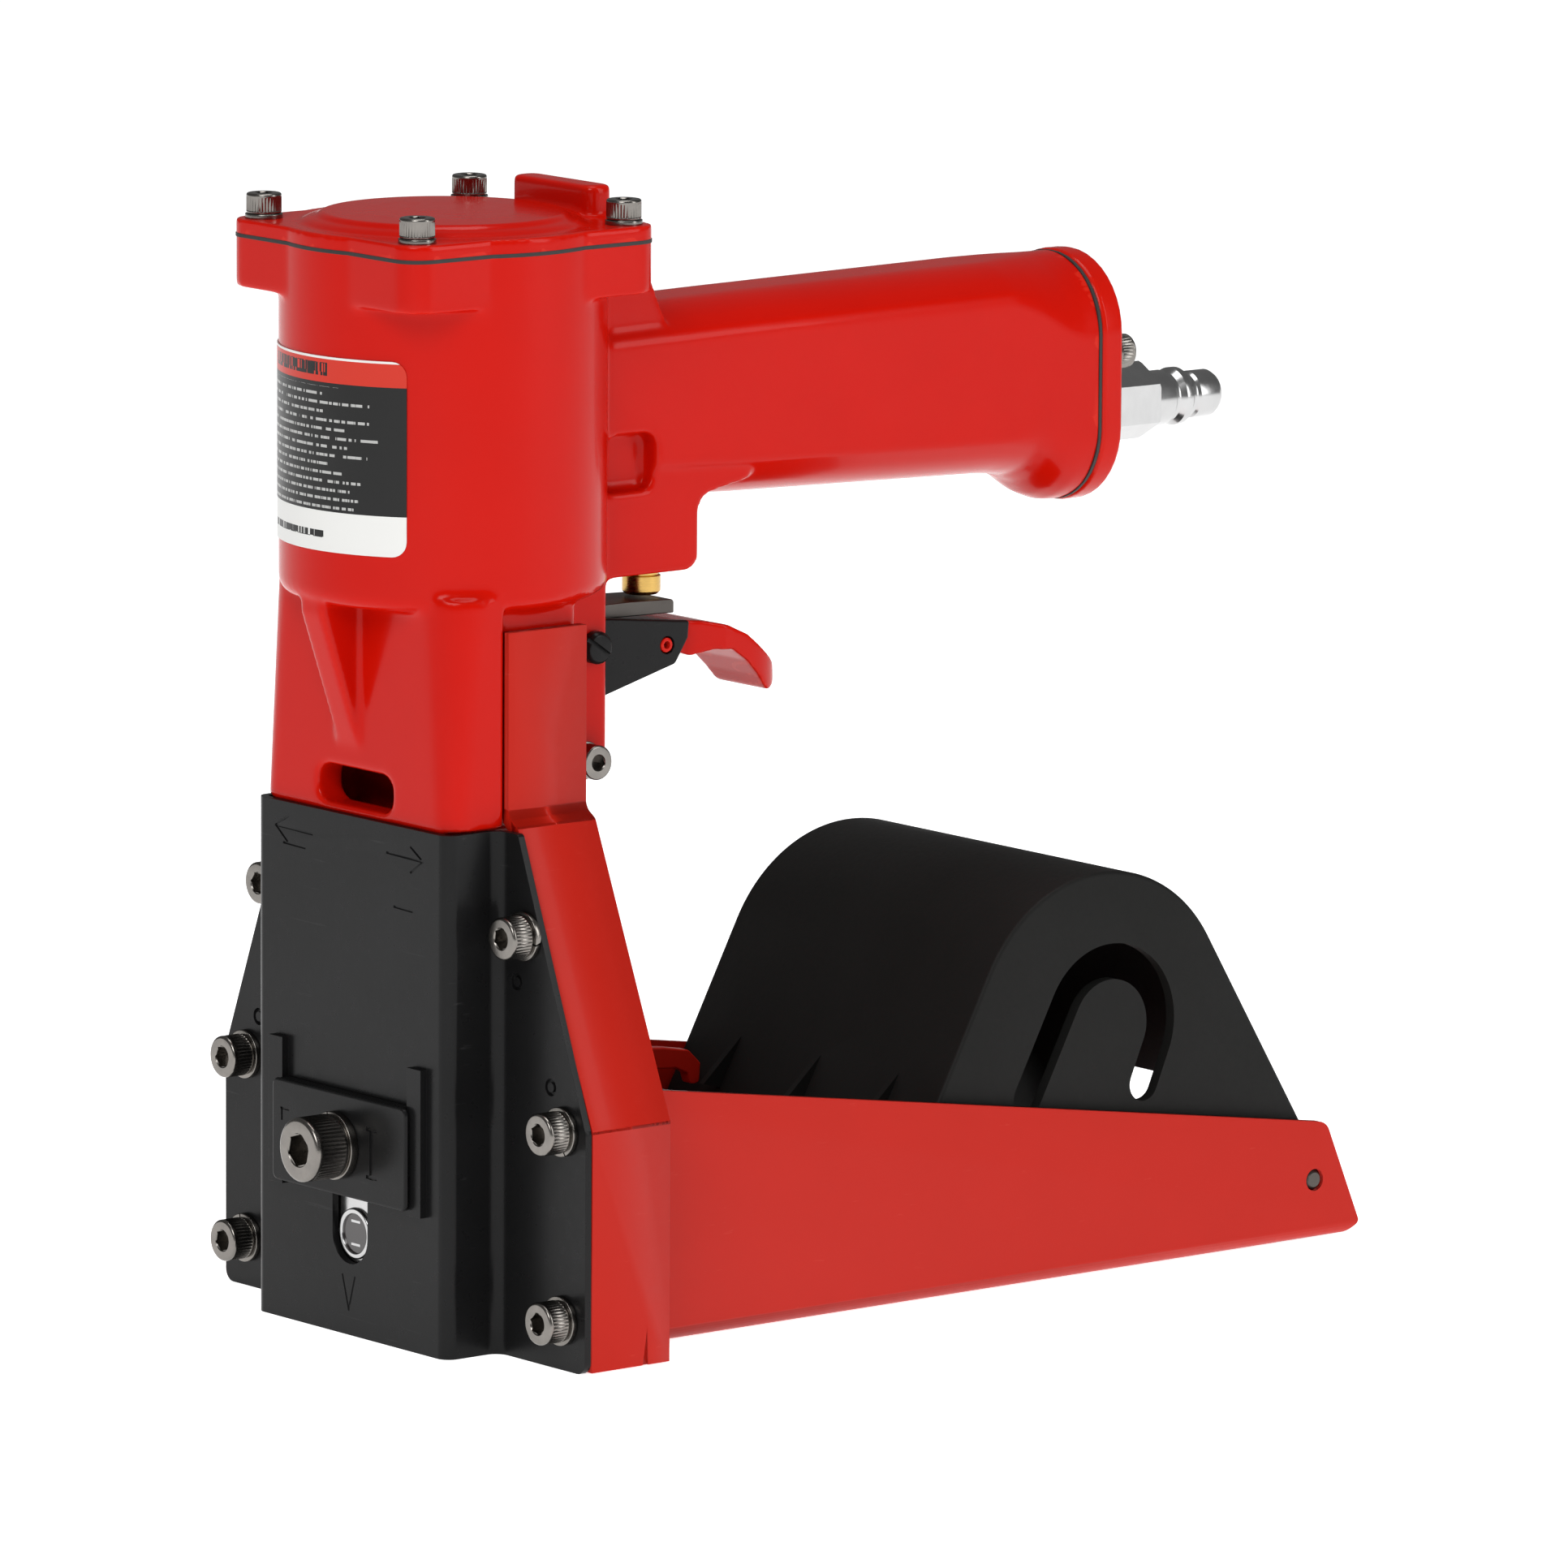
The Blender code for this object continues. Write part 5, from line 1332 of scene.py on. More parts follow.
@dataclass
class Cover:
    """The hat-shaped sheet cover over the clinchers, with its window and engraved signs."""

    shop: PaintShop
    face: float = -23.0
    half: float = 31.5
    sheet: float = 1.5
    bend: float = 2.8
    flange: float = -8.4
    top: float = 104.9
    sole_half: float = 59.2
    shoulder: float = 48.3
    top_half: float = 37.25
    window: Span = (14.5, 48.9)
    window_half: float = 5.75
    hole: float = 2.9
    pins: tuple = ((37.0, 75.5), (48.0, 56.0))
    pin_ring: Span = (1.0, 1.75)
    ridge: Span = (20.5, 25.0)
    ridge_z: Span = (27.8, 57.5)
    sign_width: float = 0.5
    sign_depth: float = 0.28
    signs: tuple = (
        ((24.6, 99.8), (12.6, 99.5)), ((24.6, 99.8), (20.4, 102.2)), ((24.6, 99.8), (20.8, 97.0)),
        ((22.0, 96.6), (15.0, 96.4)), ((-12.0, 99.2), (-23.8, 98.9)), ((-23.8, 98.9), (-19.8, 101.3)),
        ((-23.8, 98.9), (-19.8, 96.3)), ((-14.4, 88.7), (-20.2, 88.5)), ((-1.6, 11.9), (0.4, 5.2)),
        ((2.4, 11.9), (0.4, 5.2)),
    )

    def silhouette(self) -> Solid:
        """The front view's outline, pulled through the cover."""
        half, top = self.sole_half, self.top_half
        outline = [(-half, 0.0, 2.5), (half, 0.0, 2.5), (half, self.shoulder, 3.0), (top, self.top, 1.0)]
        outline += [(-top, self.top, 1.0), (-half, self.shoulder, 3.0)]
        return Solid.prism(outline, Axis.X, (-40.0, 5.0))

    def hat(self) -> Solid:
        """The bent sheet, cut to its front outline."""
        outer, back = self.bend + self.sheet, self.flange - self.sheet
        path = [(back, -70.0), (back, -self.half, self.bend), (self.face, -self.half, self.bend)]
        path += [(self.face, self.half, self.bend), (back, self.half, self.bend), (back, 70.0)]
        radii = {1: self.bend, 4: self.bend}
        corners = [(u, v, radii.get(i, r[0] if r else 0.0)) for i, (u, v, *r) in enumerate(path)]
        sheet = Solid.prism(folded(corners, -self.sheet), Axis.Z, (0.0, outer + self.top))
        return sheet.common(self.silhouette())

    def build(self) -> None:
        """Builds the cover."""
        cover = self.hat()
        window = rectangle((-self.window_half, self.window_half), self.window, self.window_half - 0.05)
        cuts = [Solid.prism(window, Axis.X, (-30.0, -18.5))]
        for side in (-1, 1):
            cuts += [Solid.rod(self.hole, Axis.X, (-15, 0), (0, side * y, z)) for y, z in SCREW_PLACES]
            near, far = self.pin_ring
            groove = [(near, -15.0), (far, -15.0), (far, -9.3), (near, -9.3)]
            cuts += [Solid.turned(groove, Axis.X, (0, side * y, z), 32) for y, z in self.pins]
        cover.cut(*cuts)
        proud = (self.face - self.sheet, self.face + 0.6)
        ridges = [Solid.block(proud, flank(side, *self.ridge), self.ridge_z) for side in (-1, 1)]
        cover.join(*ridges).soften(0.22, 2)
        engraved = (self.face - 1.0, self.face + self.sign_depth)
        strokes = [stroke(start, end, self.sign_width) for start, end in self.signs]
        cover.cut(*[Solid.prism(outline, Axis.X, engraved) for outline in strokes])
        cover.deliver(
            "cover_sheet", Body.HOUSING, Slot.BLACK_SHEET, self.shop[Slot.BLACK_SHEET], ("front_cover",)
        )


@dataclass
class Adjuster:
    """The depth adjuster: clamped block in front of the cover, rimmed slider behind its window."""

    shop: PaintShop
    z: Span = (28.7, 49.5)
    half: float = 22.0
    face: float = -26.0
    ledge: float = -24.8
    tongue: float = 20.2
    screw_z: float = 39.0
    slider_x: Span = (-21.2, -19.2)
    rim_z: float = 20.5

    def block(self) -> None:
        """The bevelled block with its plain index marks."""
        outline = rectangle((-self.half, self.half), self.z, 1.6)
        body = Solid.prism(outline, Axis.X, (self.face, self.ledge), 4).soften(0.85, 2)
        tongue = Solid.block((self.ledge - 0.3, -23.3), (-self.tongue, self.tongue), self.z)
        body.join(tongue)
        bars = [stroke((-11.0, 34.2), (-11.0, 43.4), 1.3), stroke((-12.4, 34.0), (-9.6, 34.0), 0.7)]
        bars += [stroke((-12.4, 43.6), (-9.6, 43.6), 0.7), stroke((16.4, 43.6), (18.8, 43.6), 0.5)]
        bars += [stroke((18.6, 43.6), (18.6, 41.4), 0.5)]
        body.cut(
            Solid.rod(4.3, Axis.X, (-30, -15), (0, 0, self.screw_z)),
            *[Solid.prism(bar, Axis.X, (self.face - 1.0, self.face + 0.3)) for bar in bars],
        )
        body.deliver(
            "adjuster_block", Body.ADJUSTER, Slot.BLACK_SHEET, self.shop[Slot.BLACK_SHEET],
            ("adjuster_plate",), edge=0.08,
        )

    def slider(self) -> None:
        """The plate behind the window, with a rimmed disc and two plain scale marks."""
        front, back = self.slider_x
        plate = Solid.prism(rectangle((-14.0, 14.0), (8.0, 58.0), 3.0), Axis.X, (front, back))
        plate.cut(Solid.rod(4.2, Axis.X, (-25, -10), (0, 0, self.screw_z)))
        profile = [(4.0, front - 0.8, 0.25), (5.1, front - 0.8, 0.3), (5.1, front + 0.5), (4.0, front + 0.5)]
        rim = Solid.turned(profile, Axis.X, (0, 0, self.rim_z), 64)
        nickel = self.shop[Slot.BRIGHT_NICKEL]
        plate.join(rim).deliver(
            "adjuster_rim", Body.ADJUSTER, Slot.BRIGHT_NICKEL, nickel, ("adjuster_slider",), edge=0.1
        )
        disc = Solid.turned([(0, front - 0.3), (4.0, front - 0.3), (4.0, front + 0.2), (0, front + 0.2)],
                            Axis.X, (0, 0, self.rim_z), 48)
        disc.deliver("adjuster_disc", Body.ADJUSTER, Slot.BLACK_PLASTIC, self.shop.inlay, sharp=40.0)
        bars = [stroke((-1.2, 22.9), (1.2, 22.9), 0.5), stroke((-1.2, 18.2), (1.2, 18.2), 0.5)]
        mark = Solid()
        mark.add(*[Solid.prism(bar, Axis.X, (front - 0.36, front - 0.1)) for bar in bars])
        mark.deliver("adjuster_marks", Body.ADJUSTER, Slot.BRIGHT_NICKEL, nickel, sharp=40.0)

    def build(self) -> None:
        """Builds both plates."""
        self.block()
        self.slider()


@dataclass
class SidePlate:
    """A folded cheek: the side wall and the flange that the cover is screwed to."""

    shop: PaintShop
    side: int
    hand: str
    x: Span = (-8.1, 11.3)
    sheet: float = 2.5
    path: tuple = (
        (31.9, 144.0), (31.9, 107.6, 2.5), (34.9, 105.7, 1.2), (59.2, 48.3, 2.0), (59.2, 0.3)
    )
    hole: float = 2.8

    def build(self) -> None:
        """Builds the cheek."""
        outline = mirrored(folded(self.path, -self.sheet), self.side)
        wall = Solid.prism(outline, Axis.X, self.x, 6)
        flange = [(34.9, 105.5), *self.path[3:], (33.5, 0.3), (33.5, 105.5)]
        front = (self.x[0] - 0.02, self.x[0] + self.sheet)
        wall.join(Solid.prism(mirrored(flange, self.side), Axis.X, front, 6))
        cuts = [Solid.rod(self.hole, Axis.X, (-12, 0), (0, self.side * y, z)) for y, z in SCREW_PLACES]
        wedge = Solid.prism([(4.4, -1.0), (6.0, -1.0), (5.7, 7.8)], Axis.Y, (58.8, 61.0))
        wall.cut(*cuts, wedge.turn(Matrix.Diagonal((1, self.side, 1, 1))).tidy())
        wall.soften(0.35, 3, 40.0).deliver(
            f"cheek_{self.hand}", Body.HOUSING, Slot.RED_SHEET, self.shop[Slot.RED_SHEET],
            (f"side_plate_{self.hand}",),
        )


# ---------------------------------------------------------------- trigger and grip end


@dataclass
class Trigger:
    """The trigger's folded lever, moulded finger, valve plate and pin, and the valve's button."""

    shop: PaintShop
    lever_half: float = 9.8
    channel_half: float = 8.1
    finger_half: float = 7.4
    pad_half: float = 9.3
    toe_start: float = 70.5
    toe_reach: float = 11.5
    plate_half: float = 6.6
    pivot: Span = (27.1, 135.8)
    pin: Span = (49.1, 133.6)
    stem_x: float = 50.1

    def lever(self) -> None:
        """The folded sheet lever."""
        outline = [(21.5, 141.0, 4.0), (34.5, 140.3), (51.6, 138.4), (54.9, 138.1, 0.6)]
        outline += [(54.6, 134.6), (51.4, 129.6, 1.5), (28.0, 123.3, 3.0), (21.5, 128.0, 3.0)]
        body = Solid.prism(outline, Axis.Y, (-self.lever_half, self.lever_half))
        body.soften(0.9, 3)
        channel = [(15.0, 160.0), (15.0, 121.4), (65.0, 134.7), (65.0, 160.0)]
        body.cut(
            Solid.prism(channel, Axis.Y, (-self.channel_half, self.channel_half)),
            Solid.rod(2.3, Axis.Y, (-15, 15), (self.pivot[0], 0, self.pivot[1])),
            Solid.rod(1.8, Axis.Y, (-15, 15), (self.pin[0], 0, self.pin[1])),
        )
        body.deliver(
            "trigger_channel", Body.TRIGGER, Slot.BLACK_SHEET, self.shop[Slot.BLACK_SHEET],
            ("trigger_lever",), edge=0.15,
        )

    def finger(self) -> None:
        """The moulded finger piece, with its wider pad and upturned toe."""
        outline = [(44.5, 138.0, 1.5), (54.0, 137.9), (60.0, 137.3), (65.5, 136.1), (70.4, 133.8)]
        outline += [(75.0, 130.2), (79.3, 126.9), (80.4, 122.9, 1.6), (76.4, 121.3, 1.8)]
        outline += [(73.6, 124.9), (70.2, 128.4), (66.6, 131.0), (62.2, 131.3), (56.8, 130.4)]
        outline += [(51.5, 132.4), (44.5, 130.6, 1.5)]
        body = Solid.prism(outline, Axis.Y, (-self.finger_half, self.finger_half), 4)
        body.cast(0.32, 16, 60_000)
        for vert in body.mesh.verts:
            spread = min(max((vert.co.x - 55.5) / 9.0, 0.0), 1.0)
            width = self.finger_half + (self.pad_half - self.finger_half) * spread
            toe = max((vert.co.x - self.toe_start) / self.toe_reach, 0.0)
            vert.co.y *= width / self.finger_half * math.sqrt(max(1.0 - toe * toe, 0.1))
        body.cut(Solid.rod(2.6, Axis.Y, (-15, 15), (self.pin[0], 0, self.pin[1])))
        body.deliver(
            "trigger_pad", Body.TRIGGER, Slot.RED_ENAMEL, self.shop[Slot.RED_ENAMEL],
            ("trigger_finger",), sharp=50.0,
        )

    def plate(self) -> None:
        """The steel plate that pushes the valve's button."""
        outline = [(22.6, 142.6, 2.0), (42.0, 142.6), (53.3, 142.2, 0.8), (53.3, 139.4)]
        outline += [(32.0, 139.8, 1.0), (31.5, 133.0, 2.5), (22.6, 133.0, 2.5)]
        plate = Solid.prism(outline, Axis.Y, (-self.plate_half, self.plate_half))
        plate.cut(Solid.rod(2.1, Axis.Y, (-15, 15), (self.pivot[0], 0, self.pivot[1])))
        plate.deliver(
            "trigger_steel", Body.TRIGGER, Slot.STEEL, self.shop.blued_steel, ("trigger_plate",), edge=0.25
        )

    def spring_pin(self) -> None:
        """The rolled pin through the finger."""
        reach = self.lever_half - 0.1
        tube = [(0.8, -reach), (1.5, -reach, 0.25), (1.5, reach, 0.25), (0.8, reach)]
        pin = Solid.turned(tube, Axis.Y, (self.pin[0], 0, self.pin[1]), 32)
        red = self.shop[Slot.RED_ENAMEL]
        pin.deliver("trigger_spring_pin", Body.TRIGGER, Slot.RED_ENAMEL, red, ("trigger_pin",), sharp=40.0)

    def button(self) -> None:
        """The valve's brass button and stem."""
        profile = [(0, 142.9), (3.3, 142.9), (3.9, 143.5, 0.3), (3.9, 146.6), (3.5, 146.9), (3.5, 147.6)]
        profile += [(3.9, 147.9), (3.9, 161.0, 0.3), (2.2, 161.0), (2.2, 164.5, 0.4), (0, 164.5)]
        stem = Solid.turned(profile, Axis.Z, (self.stem_x, 0, 0), 48)
        stem.deliver(
            "valve_button", Body.STEM, Slot.BRASS, self.shop[Slot.BRASS], ("valve_stem",), sharp=35.0
        )

    def build(self) -> None:
        """Builds the trigger's pieces."""
        self.lever()
        self.finger()
        self.plate()
        self.spring_pin()
        self.button()


@dataclass
class GripEnd:
    """The grip's end cap with its seal, and the air nipple screwed into it."""

    shop: PaintShop
    seat: float = 155.92
    plate: Span = (156.65, 162.3)
    half: float = 17.0
    z: Span = (152.8, 204.7)
    air_z: float = 171.5
    hexagon: float = 14.0
    hexagon_x: Span = (162.6, 181.0)
    nipple: tuple = (
        (2.6, 152.0), (6.2, 152.0), (6.2, 164.0), (5.7, 164.0), (5.7, 186.4), (5.1, 187.0), (5.1, 188.0),
        (6.0, 189.1), (6.0, 190.7), (4.5, 192.2), (4.5, 193.2), (4.9, 193.8), (4.9, 198.7), (4.3, 199.7),
        (3.3, 199.7), (2.6, 198.9),
    )

    def outline(self, shrink: float = 0.0) -> list[Corner]:
        """The end's outline (y, z), round above and below."""
        half, low, high = self.half - shrink, self.z[0] + shrink, self.z[1] - shrink
        return [
            (-half, low, half - 0.6), (half, low, half - 0.6), (half, high, half - 0.6),
            (-half, high, half - 0.6),
        ]

    def build(self) -> None:
        """Builds the seal, the cap and the nipple."""
        hole = Solid.rod(12.0, Axis.X, (150, 170), (0, 0, self.air_z))
        seal = Solid.prism(self.outline(0.25), Axis.X, (self.seat, self.plate[0] + 0.03), 10).cut(hole)
        rubber = self.shop[Slot.RUBBER]
        seal.deliver("grip_end_seal", Body.HOUSING, Slot.RUBBER, rubber, ("end_cap_gasket",), edge=0.1)
        cap = Solid.prism(self.outline(), Axis.X, self.plate, 10).soften(1.2, 4)
        cap.cut(Solid.rod(6.6, Axis.X, (150, 170), (0, 0, self.air_z), 64))
        cap.deliver(
            "grip_end_cap", Body.HOUSING, Slot.RED_ENAMEL, self.shop[Slot.RED_ENAMEL], ("end_cap",)
        )
        centre = (0, 0, self.air_z)
        nipple = Solid.turned([(*corner, 0.12) for corner in self.nipple], Axis.X, centre, 64, 2)
        x, corner_r = self.hexagon_x, self.hexagon / 2 / math.cos(math.pi / 6)
        nut = Solid.rod(corner_r, Axis.X, x, centre, 6)
        face, rim = corner_r - 0.55, corner_r + 0.2
        cone = [(0, x[0] - 0.1), (face, x[0] - 0.1), (rim, x[0] + 0.5)]
        cone += [(rim, x[1] - 0.5), (face, x[1] + 0.1), (0, x[1] + 0.1)]
        nut.common(Solid.turned(cone, Axis.X, centre, 96)).cut(Solid.rod(3.0, Axis.X, (150, 190), centre))
        nipple.join(nut).deliver(
            "air_plug", Body.HOUSING, Slot.BRIGHT_NICKEL, self.shop[Slot.BRIGHT_NICKEL], ("air_nipple",),
            edge=0.12, sharp=28.0,
        )


# ---------------------------------------------------------------- magazine


@dataclass
class Tray:
    """The folded magazine tray."""

    shop: PaintShop
    x: Span = (11.7, 205.9)
    half: float = 43.7
    sheet: float = 2.0
    height: float = 55.0

    def build(self) -> None:
        """Builds the tray."""
        half = self.half
        path = [(-half, self.height), (-half, 0.0, 3.0), (half, 0.0, 3.0), (half, self.height)]
        channel = Solid.prism(folded(path, self.sheet), Axis.X, self.x, 8)
        side = [(11.7, 0.0), (203.0, 0.0, 2.0), (205.9, 2.4, 1.2), (196.6, 24.4, 3.0)]
        side += [(22.0, 51.0, 3.0), (11.7, 52.6, 1.5)]
        channel.common(Solid.prism(side, Axis.Y, (-60.0, 60.0)))
        flange = rectangle((-56.2, 56.2), (0.5, 46.0), 2.0)
        channel.join(Solid.prism(flange, Axis.X, (self.x[0], self.x[0] + self.sheet)))
        channel.cut(
            Solid.block((185.0, 215.0), (self.sheet - half, half - self.sheet), (-2.0, 6.0)),
            Solid.block((5.0, 20.0), (-20.0, 20.0), (2.0, 23.0)),
            Solid.rod(7.6, Axis.X, (5, 20), (0, 0, 34.0)),
            Solid.rod(2.3, Axis.Y, (-60, 60), (193.5, 0, 12.6)),
            Solid.rod(2.3, Axis.Y, (30, 60), (24.0, 0, 40.0)),
        )
        channel.soften(0.3, 2, 40.0).deliver(
            "tray_sheet", Body.HOUSING, Slot.RED_SHEET, self.shop[Slot.RED_SHEET], ("tray",)
        )


@dataclass
class Canister:
    """The moulded drum that covers the staple roll, open below, with its hook-shaped slot."""

    shop: PaintShop
    centre: Span = (137.5, 48.9)
    radius: float = 33.7
    wall: float = 2.5
    half: float = 41.2
    sweep: Span = (151.9, 29.5)
    toe: tuple = ((92.0, 8.0), (89.2, 30.0))
    heel: tuple = ((199.0, 13.0), (196.0, 8.0))
    hook_centre: Span = (139.8, 50.5)
    hook_radius: float = 13.4
    hook_sweep: Span = (152.0, -20.0)
    hook_legs: tuple = ((242.0, 21.0), (247.0, 8.9))
    hook_width: float = 7.4
    ribs: Span = (25.5, -0.5, -25.6)

    def arc(self, centre: Span, radius: float, sweep: Span, steps: int) -> list[Corner]:
        """Points along an arc, from one angle in degrees to another."""
        angles = [math.radians(sweep[0] + (sweep[1] - sweep[0]) * i / steps) for i in range(steps + 1)]
        return [(centre[0] + radius * math.cos(a), centre[1] + radius * math.sin(a)) for a in angles]

    def shell(self) -> Solid:
        """The drum with its foot, hollow and open below."""
        drum = self.arc(self.centre, self.radius, self.sweep, 60)
        body = Solid.prism([*self.toe, *drum, *self.heel], Axis.Y, (-self.half, self.half))
        body.soften(0.9, 4, 25.0)
        inner = self.arc(self.centre, self.radius - self.wall, self.sweep, 60)
        room = [(80.0, -5.0), (80.0, 31.0), (92.6, 31.0), *inner, (196.1, 13.0), (195.6, -5.0)]
        reach = self.half - self.wall
        return body.cut(Solid.prism(room, Axis.Y, (-reach, reach)))

    def hook(self) -> Solid:
        """The cutter of the hook-shaped slot: half a ring with a straight leg at each end."""
        outer, inner = (self.hook_radius + side * self.hook_width / 2 for side in (1, -1))
        ring = self.arc(self.hook_centre, outer, self.hook_sweep, 48)
        ring += self.arc(self.hook_centre, inner, self.hook_sweep[::-1], 48)
        span = (-60.0, 60.0)
        cutter = Solid.prism(ring, Axis.Y, span)
        parts = []
        for angle, (heading, length) in zip(self.hook_sweep, self.hook_legs):
            start = Vector(self.arc(self.hook_centre, self.hook_radius, (angle, angle), 1)[0])
            way = math.radians(heading)
            foot = start + Vector((math.cos(way), math.sin(way))) * length
            leg = stroke(tuple(start), tuple(foot), self.hook_width)
            leg = [(*corner, self.hook_width / 2 - 0.05) for corner in leg]
            parts.append(Solid.prism(leg, Axis.Y, span))
        return cutter.join(*parts)

    def build(self) -> None:
        """Builds the canister and its hinge pin."""
        rib = [(96.5, 43.6), (86.5, 34.6), (91.5, 33.2), (99.0, 36.0)]
        gussets = [Solid.prism(rib, Axis.Y, (y - 0.75, y + 0.75)) for y in self.ribs]
        gate = Solid.block((176.0, 206.0), (-30.0, 30.0), (-5.0, 30.0))
        drum = self.shell().cut(self.hook(), gate, Solid.rod(2.35, Axis.Y, (-60, 60), (193.5, 0, 12.6)))
        drum.join(*gussets)
        plastic = self.shop[Slot.BLACK_PLASTIC]
        drum.deliver("canister_drum", Body.CANISTER, Slot.BLACK_PLASTIC, plastic, ("canister",),
                     edge=0.18, sharp=24.0)
        x, _, z = middle("canister_pin")
        profile = [(0, -43.6), (1.5, -43.6), (2.0, -43.1), (2.0, 43.1), (1.5, 43.6), (0, 43.6)]
        Solid.turned(profile, Axis.Y, (x, 0, z), 40).deliver(
            "hinge_pin", Body.HOUSING, Slot.STEEL, self.shop.blued_steel, ("canister_pin",),
            sharp=35.0,
        )


@dataclass
class LoadingLever:
    """The long sprung lever beside the magazine."""

    shop: PaintShop
    y: Span = (29.5, 32.5)
    outline: tuple = (
        (18.5, 45.0, 4.5), (44.0, 45.6), (80.0, 42.2), (86.5, 41.0), (89.6, 38.0), (89.3, 33.8, 0.9),
        (87.0, 33.8, 0.9), (86.2, 36.2), (83.0, 37.6), (44.0, 40.4), (29.0, 35.0, 3.0), (18.5, 35.0, 4.5),
    )

    def build(self) -> None:
        """Builds the lever on its pin."""
        x, _, z = middle("loading_lever_pin")
        bar = Solid.prism(self.outline, Axis.Y, self.y)
        bar.cut(Solid.rod(2.1, Axis.Y, (20, 50), (x, 0, z)))
        bar.deliver(
            "loading_bar", Body.LEVER, Slot.RED_SHEET, self.shop[Slot.RED_SHEET], ("loading_lever",),
            edge=0.4,
        )


@dataclass
class Workings:
    """Turned and flat parts that keep the frame's form, with their edges rounded."""

    shop: PaintShop
    parts: tuple = (
        ("clincher_plate", "clincher_back", Body.HOUSING, Slot.STEEL, 0.35),
        ("clincher_left", "clincher_jaw_left", Body.CLINCHER_LEFT, Slot.STEEL, 0.3),
        ("clincher_right", "clincher_jaw_right", Body.CLINCHER_RIGHT, Slot.STEEL, 0.3),
        ("clincher_pin_left", "clincher_axle_left", Body.HOUSING, Slot.STEEL, 0.3),
        ("clincher_pin_right", "clincher_axle_right", Body.HOUSING, Slot.STEEL, 0.3),
        ("feed_track", "staple_track", Body.HOUSING, Slot.STEEL, 0.35),
        ("feed_cylinder", "feeder_barrel", Body.HOUSING, Slot.ALUMINIUM, 0.5),
        ("feed_piston", "feeder_rod", Body.FEED, Slot.STEEL, 0.3),
        ("feed_pawl", "feeder_pawl", Body.FEED, Slot.STEEL, 0.3),
        ("loading_lever_pin", "lever_axle", Body.HOUSING, Slot.STEEL, 0.25),
    )

    springs: tuple = (
        ("valve_spring", "button_spring", "valve_stem_lift"),
        ("head_valve_spring", "cap_spring", "head_valve_lift"),
        ("feed_spring", "feeder_spring", "feed_stroke"),
    )

    def build(self) -> None:
        """Copies each part and rounds its edges."""
        for node, name, body, slot, edge in self.parts:
            solid = Solid.copy_of(node)
            solid.deliver(name, body, slot, self.shop[slot], (node,), edge=edge, sharp=32.0)
        for node, name, joint in self.springs:
            self.spring(node, name, joint)

    def spring(self, node: str, name: str, joint: str) -> None:
        """Copies a spring; it keeps its rest length and rides the housing as its joint moves.

        Args:
            node: The CAD node.
            name: The piece's name.
            joint: The joint that presses it; its range is read but not applied to the spring.
        """
        facts = next(j for j in frame["joints"] if j["name"] == joint)
        axis = Vector(facts["axis"])
        column = max(range(3), key=lambda i: abs(axis[i]))
        low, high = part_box(node)
        anchor = [(a + b) / 2 for a, b in zip(low, high)]
        anchor[column] = high[column]
        length = high[column] - low[column]
        steel = self.shop[Slot.STEEL]
        piece = Solid.copy_of(node).deliver(name, Body.HOUSING, Slot.STEEL, steel, (node,), sharp=40.0)
        1.0 - facts["range_m"][1] / length
        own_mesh(piece)


# ---------------------------------------------------------------- studio


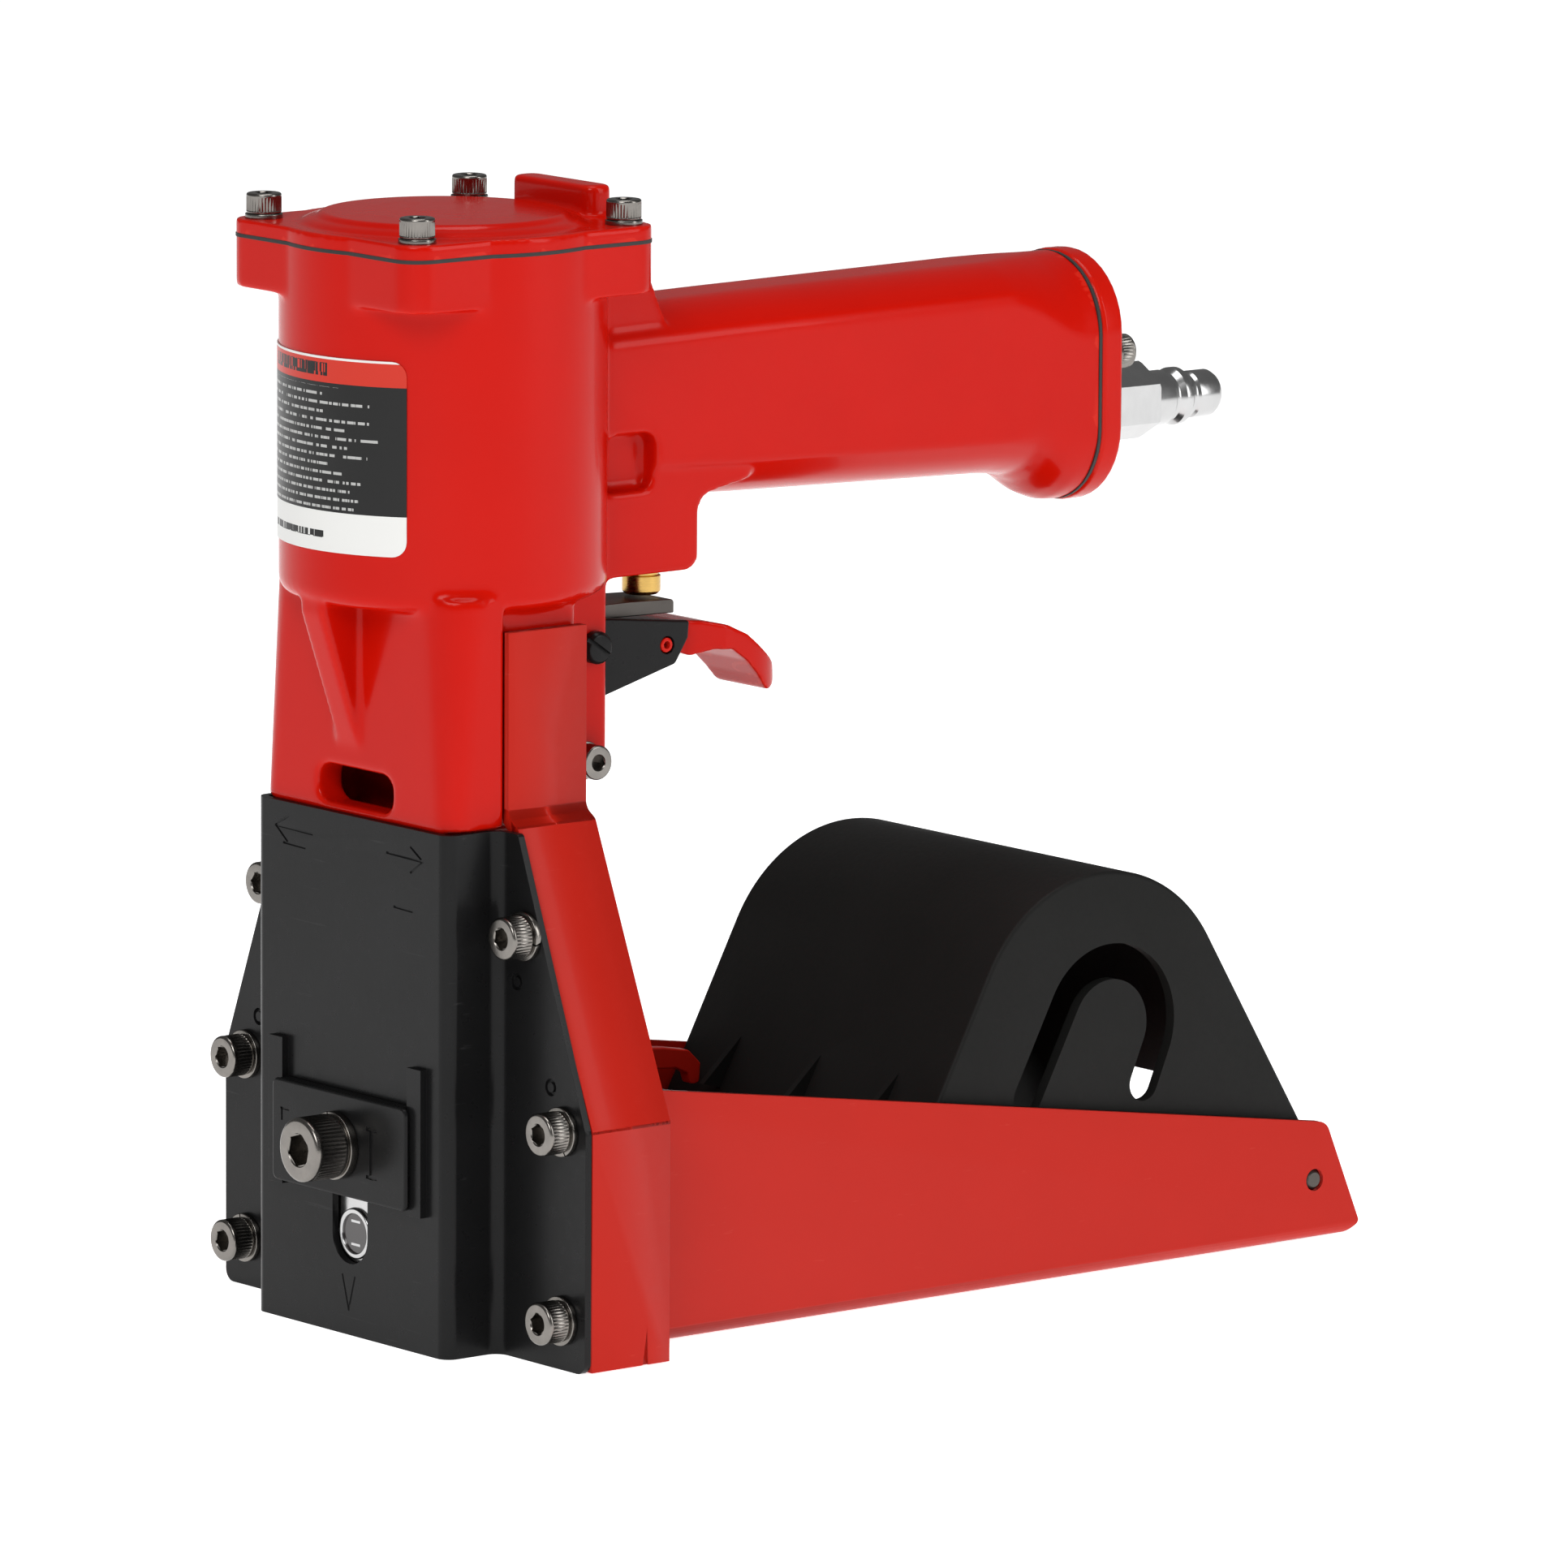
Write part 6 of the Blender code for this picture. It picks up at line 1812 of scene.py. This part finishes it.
@dataclass
class Studio:
    """A pale floor, a bright even surround, soft lights and a long lens."""

    azimuth: float = 38.91
    elevation: float = 9.47
    roll: float = 0.35
    place: tuple = (-1586.2, -2073.2, 544.7)
    lens: float = 305.4
    floor_radius: float = 14.0
    floor_glow: float = 0.95
    lights: tuple = (
        ("key light", (-1.3, -0.9, 1.3), (0.8, 0.9), 17.0),
        ("side light", (0.9, -1.5, 0.8), (0.5, 1.3), 9.5),
        ("top light", (0.1, 0.0, 1.8), (1.0, 1.0), 13.0),
    )
    surround: Colour = (1.0, 1.0, 1.0)
    strength: float = 0.16

    def camera(self) -> None:
        """Sets up the camera."""
        turn, dip, roll = (math.radians(a) for a in (self.azimuth, self.elevation, self.roll))
        look = Vector(
            (math.sin(turn) * math.cos(dip), math.cos(turn) * math.cos(dip), -math.sin(dip))
        )
        right = Vector((math.cos(turn), -math.sin(turn), 0.0))
        up = right.cross(look)
        right, up = (
            right * math.cos(roll) + up * math.sin(roll),
            up * math.cos(roll) - right * math.sin(roll),
        )
        data = bpy.data.cameras.new("camera")
        data.lens, data.sensor_width = self.lens, 36.0
        data.clip_start, data.clip_end = 0.1, 60.0
        camera = bpy.data.objects.new("camera", data)
        camera.matrix_world = Matrix.Translation(ROW @ Vector(self.place)) @ Matrix(
            (right, up, -look)
        ).transposed().to_4x4()
        bpy.context.scene.collection.objects.link(camera)
        bpy.context.scene.camera = camera

    def floor(self) -> None:
        """Lays the pale floor."""
        mesh = bmesh.new()
        bmesh.ops.create_circle(mesh, cap_ends=True, segments=96, radius=self.floor_radius)
        data = bpy.data.meshes.new("floor")
        mesh.to_mesh(data)
        mesh.free()
        shader = Shader("studio floor")
        tone = shader.mix(shader.noise(3.0), (0.86, 0.86, 0.86), (0.90, 0.90, 0.90))
        shader.surface.inputs["Emission Strength"].default_value = self.floor_glow
        data.materials.append(shader.finish(base_color=tone, roughness=0.9, emission_color=tone))
        floor = bpy.data.objects.new("floor", data)
        bpy.context.scene.collection.objects.link(floor)

    def light(self, name: str, place: Corner, size: Span, power: float) -> None:
        """Hangs one soft light, facing the tool."""
        data = bpy.data.lights.new(name, "AREA")
        data.shape = "RECTANGLE"
        data.size, data.size_y, data.energy = *size, power
        light = bpy.data.objects.new(name, data)
        light.location = place
        aim = Vector((0.0, 0.0, 0.1)) - light.location
        light.rotation_euler = aim.to_track_quat("-Z", "Y").to_euler()
        bpy.context.scene.collection.objects.link(light)

    def build(self) -> None:
        """Builds the studio."""
        world = bpy.data.worlds.new("surround")
        world.use_nodes = True
        background = world.node_tree.nodes["Background"]
        background.inputs["Color"].default_value = (*self.surround, 1.0)
        background.inputs["Strength"].default_value = self.strength
        bpy.context.scene.world = world
        bpy.context.scene.view_settings.view_transform = "Standard"
        self.floor()
        for light in self.lights:
            self.light(*light)
        self.camera()


def main() -> None:
    """Builds every sub-assembly, then the studio."""
    logging.basicConfig(level=logging.INFO, format="%(name)s: %(message)s")
    shop = PaintShop()
    shop.dress_nodes()
    assemblies = (
        Casting, Cap, LabelFilm, Screws, Cover, Adjuster, Trigger, GripEnd, Tray, Canister,
        LoadingLever, Workings,
    )
    for assembly in assemblies:
        LOG.info("%s", assembly.__name__)
        assembly(shop).build()
    for side, hand in ((1, "left"), (-1, "right")):
        SidePlate(shop, side, hand).build()
    Studio().build()


if __name__ == "__main__":
    main()
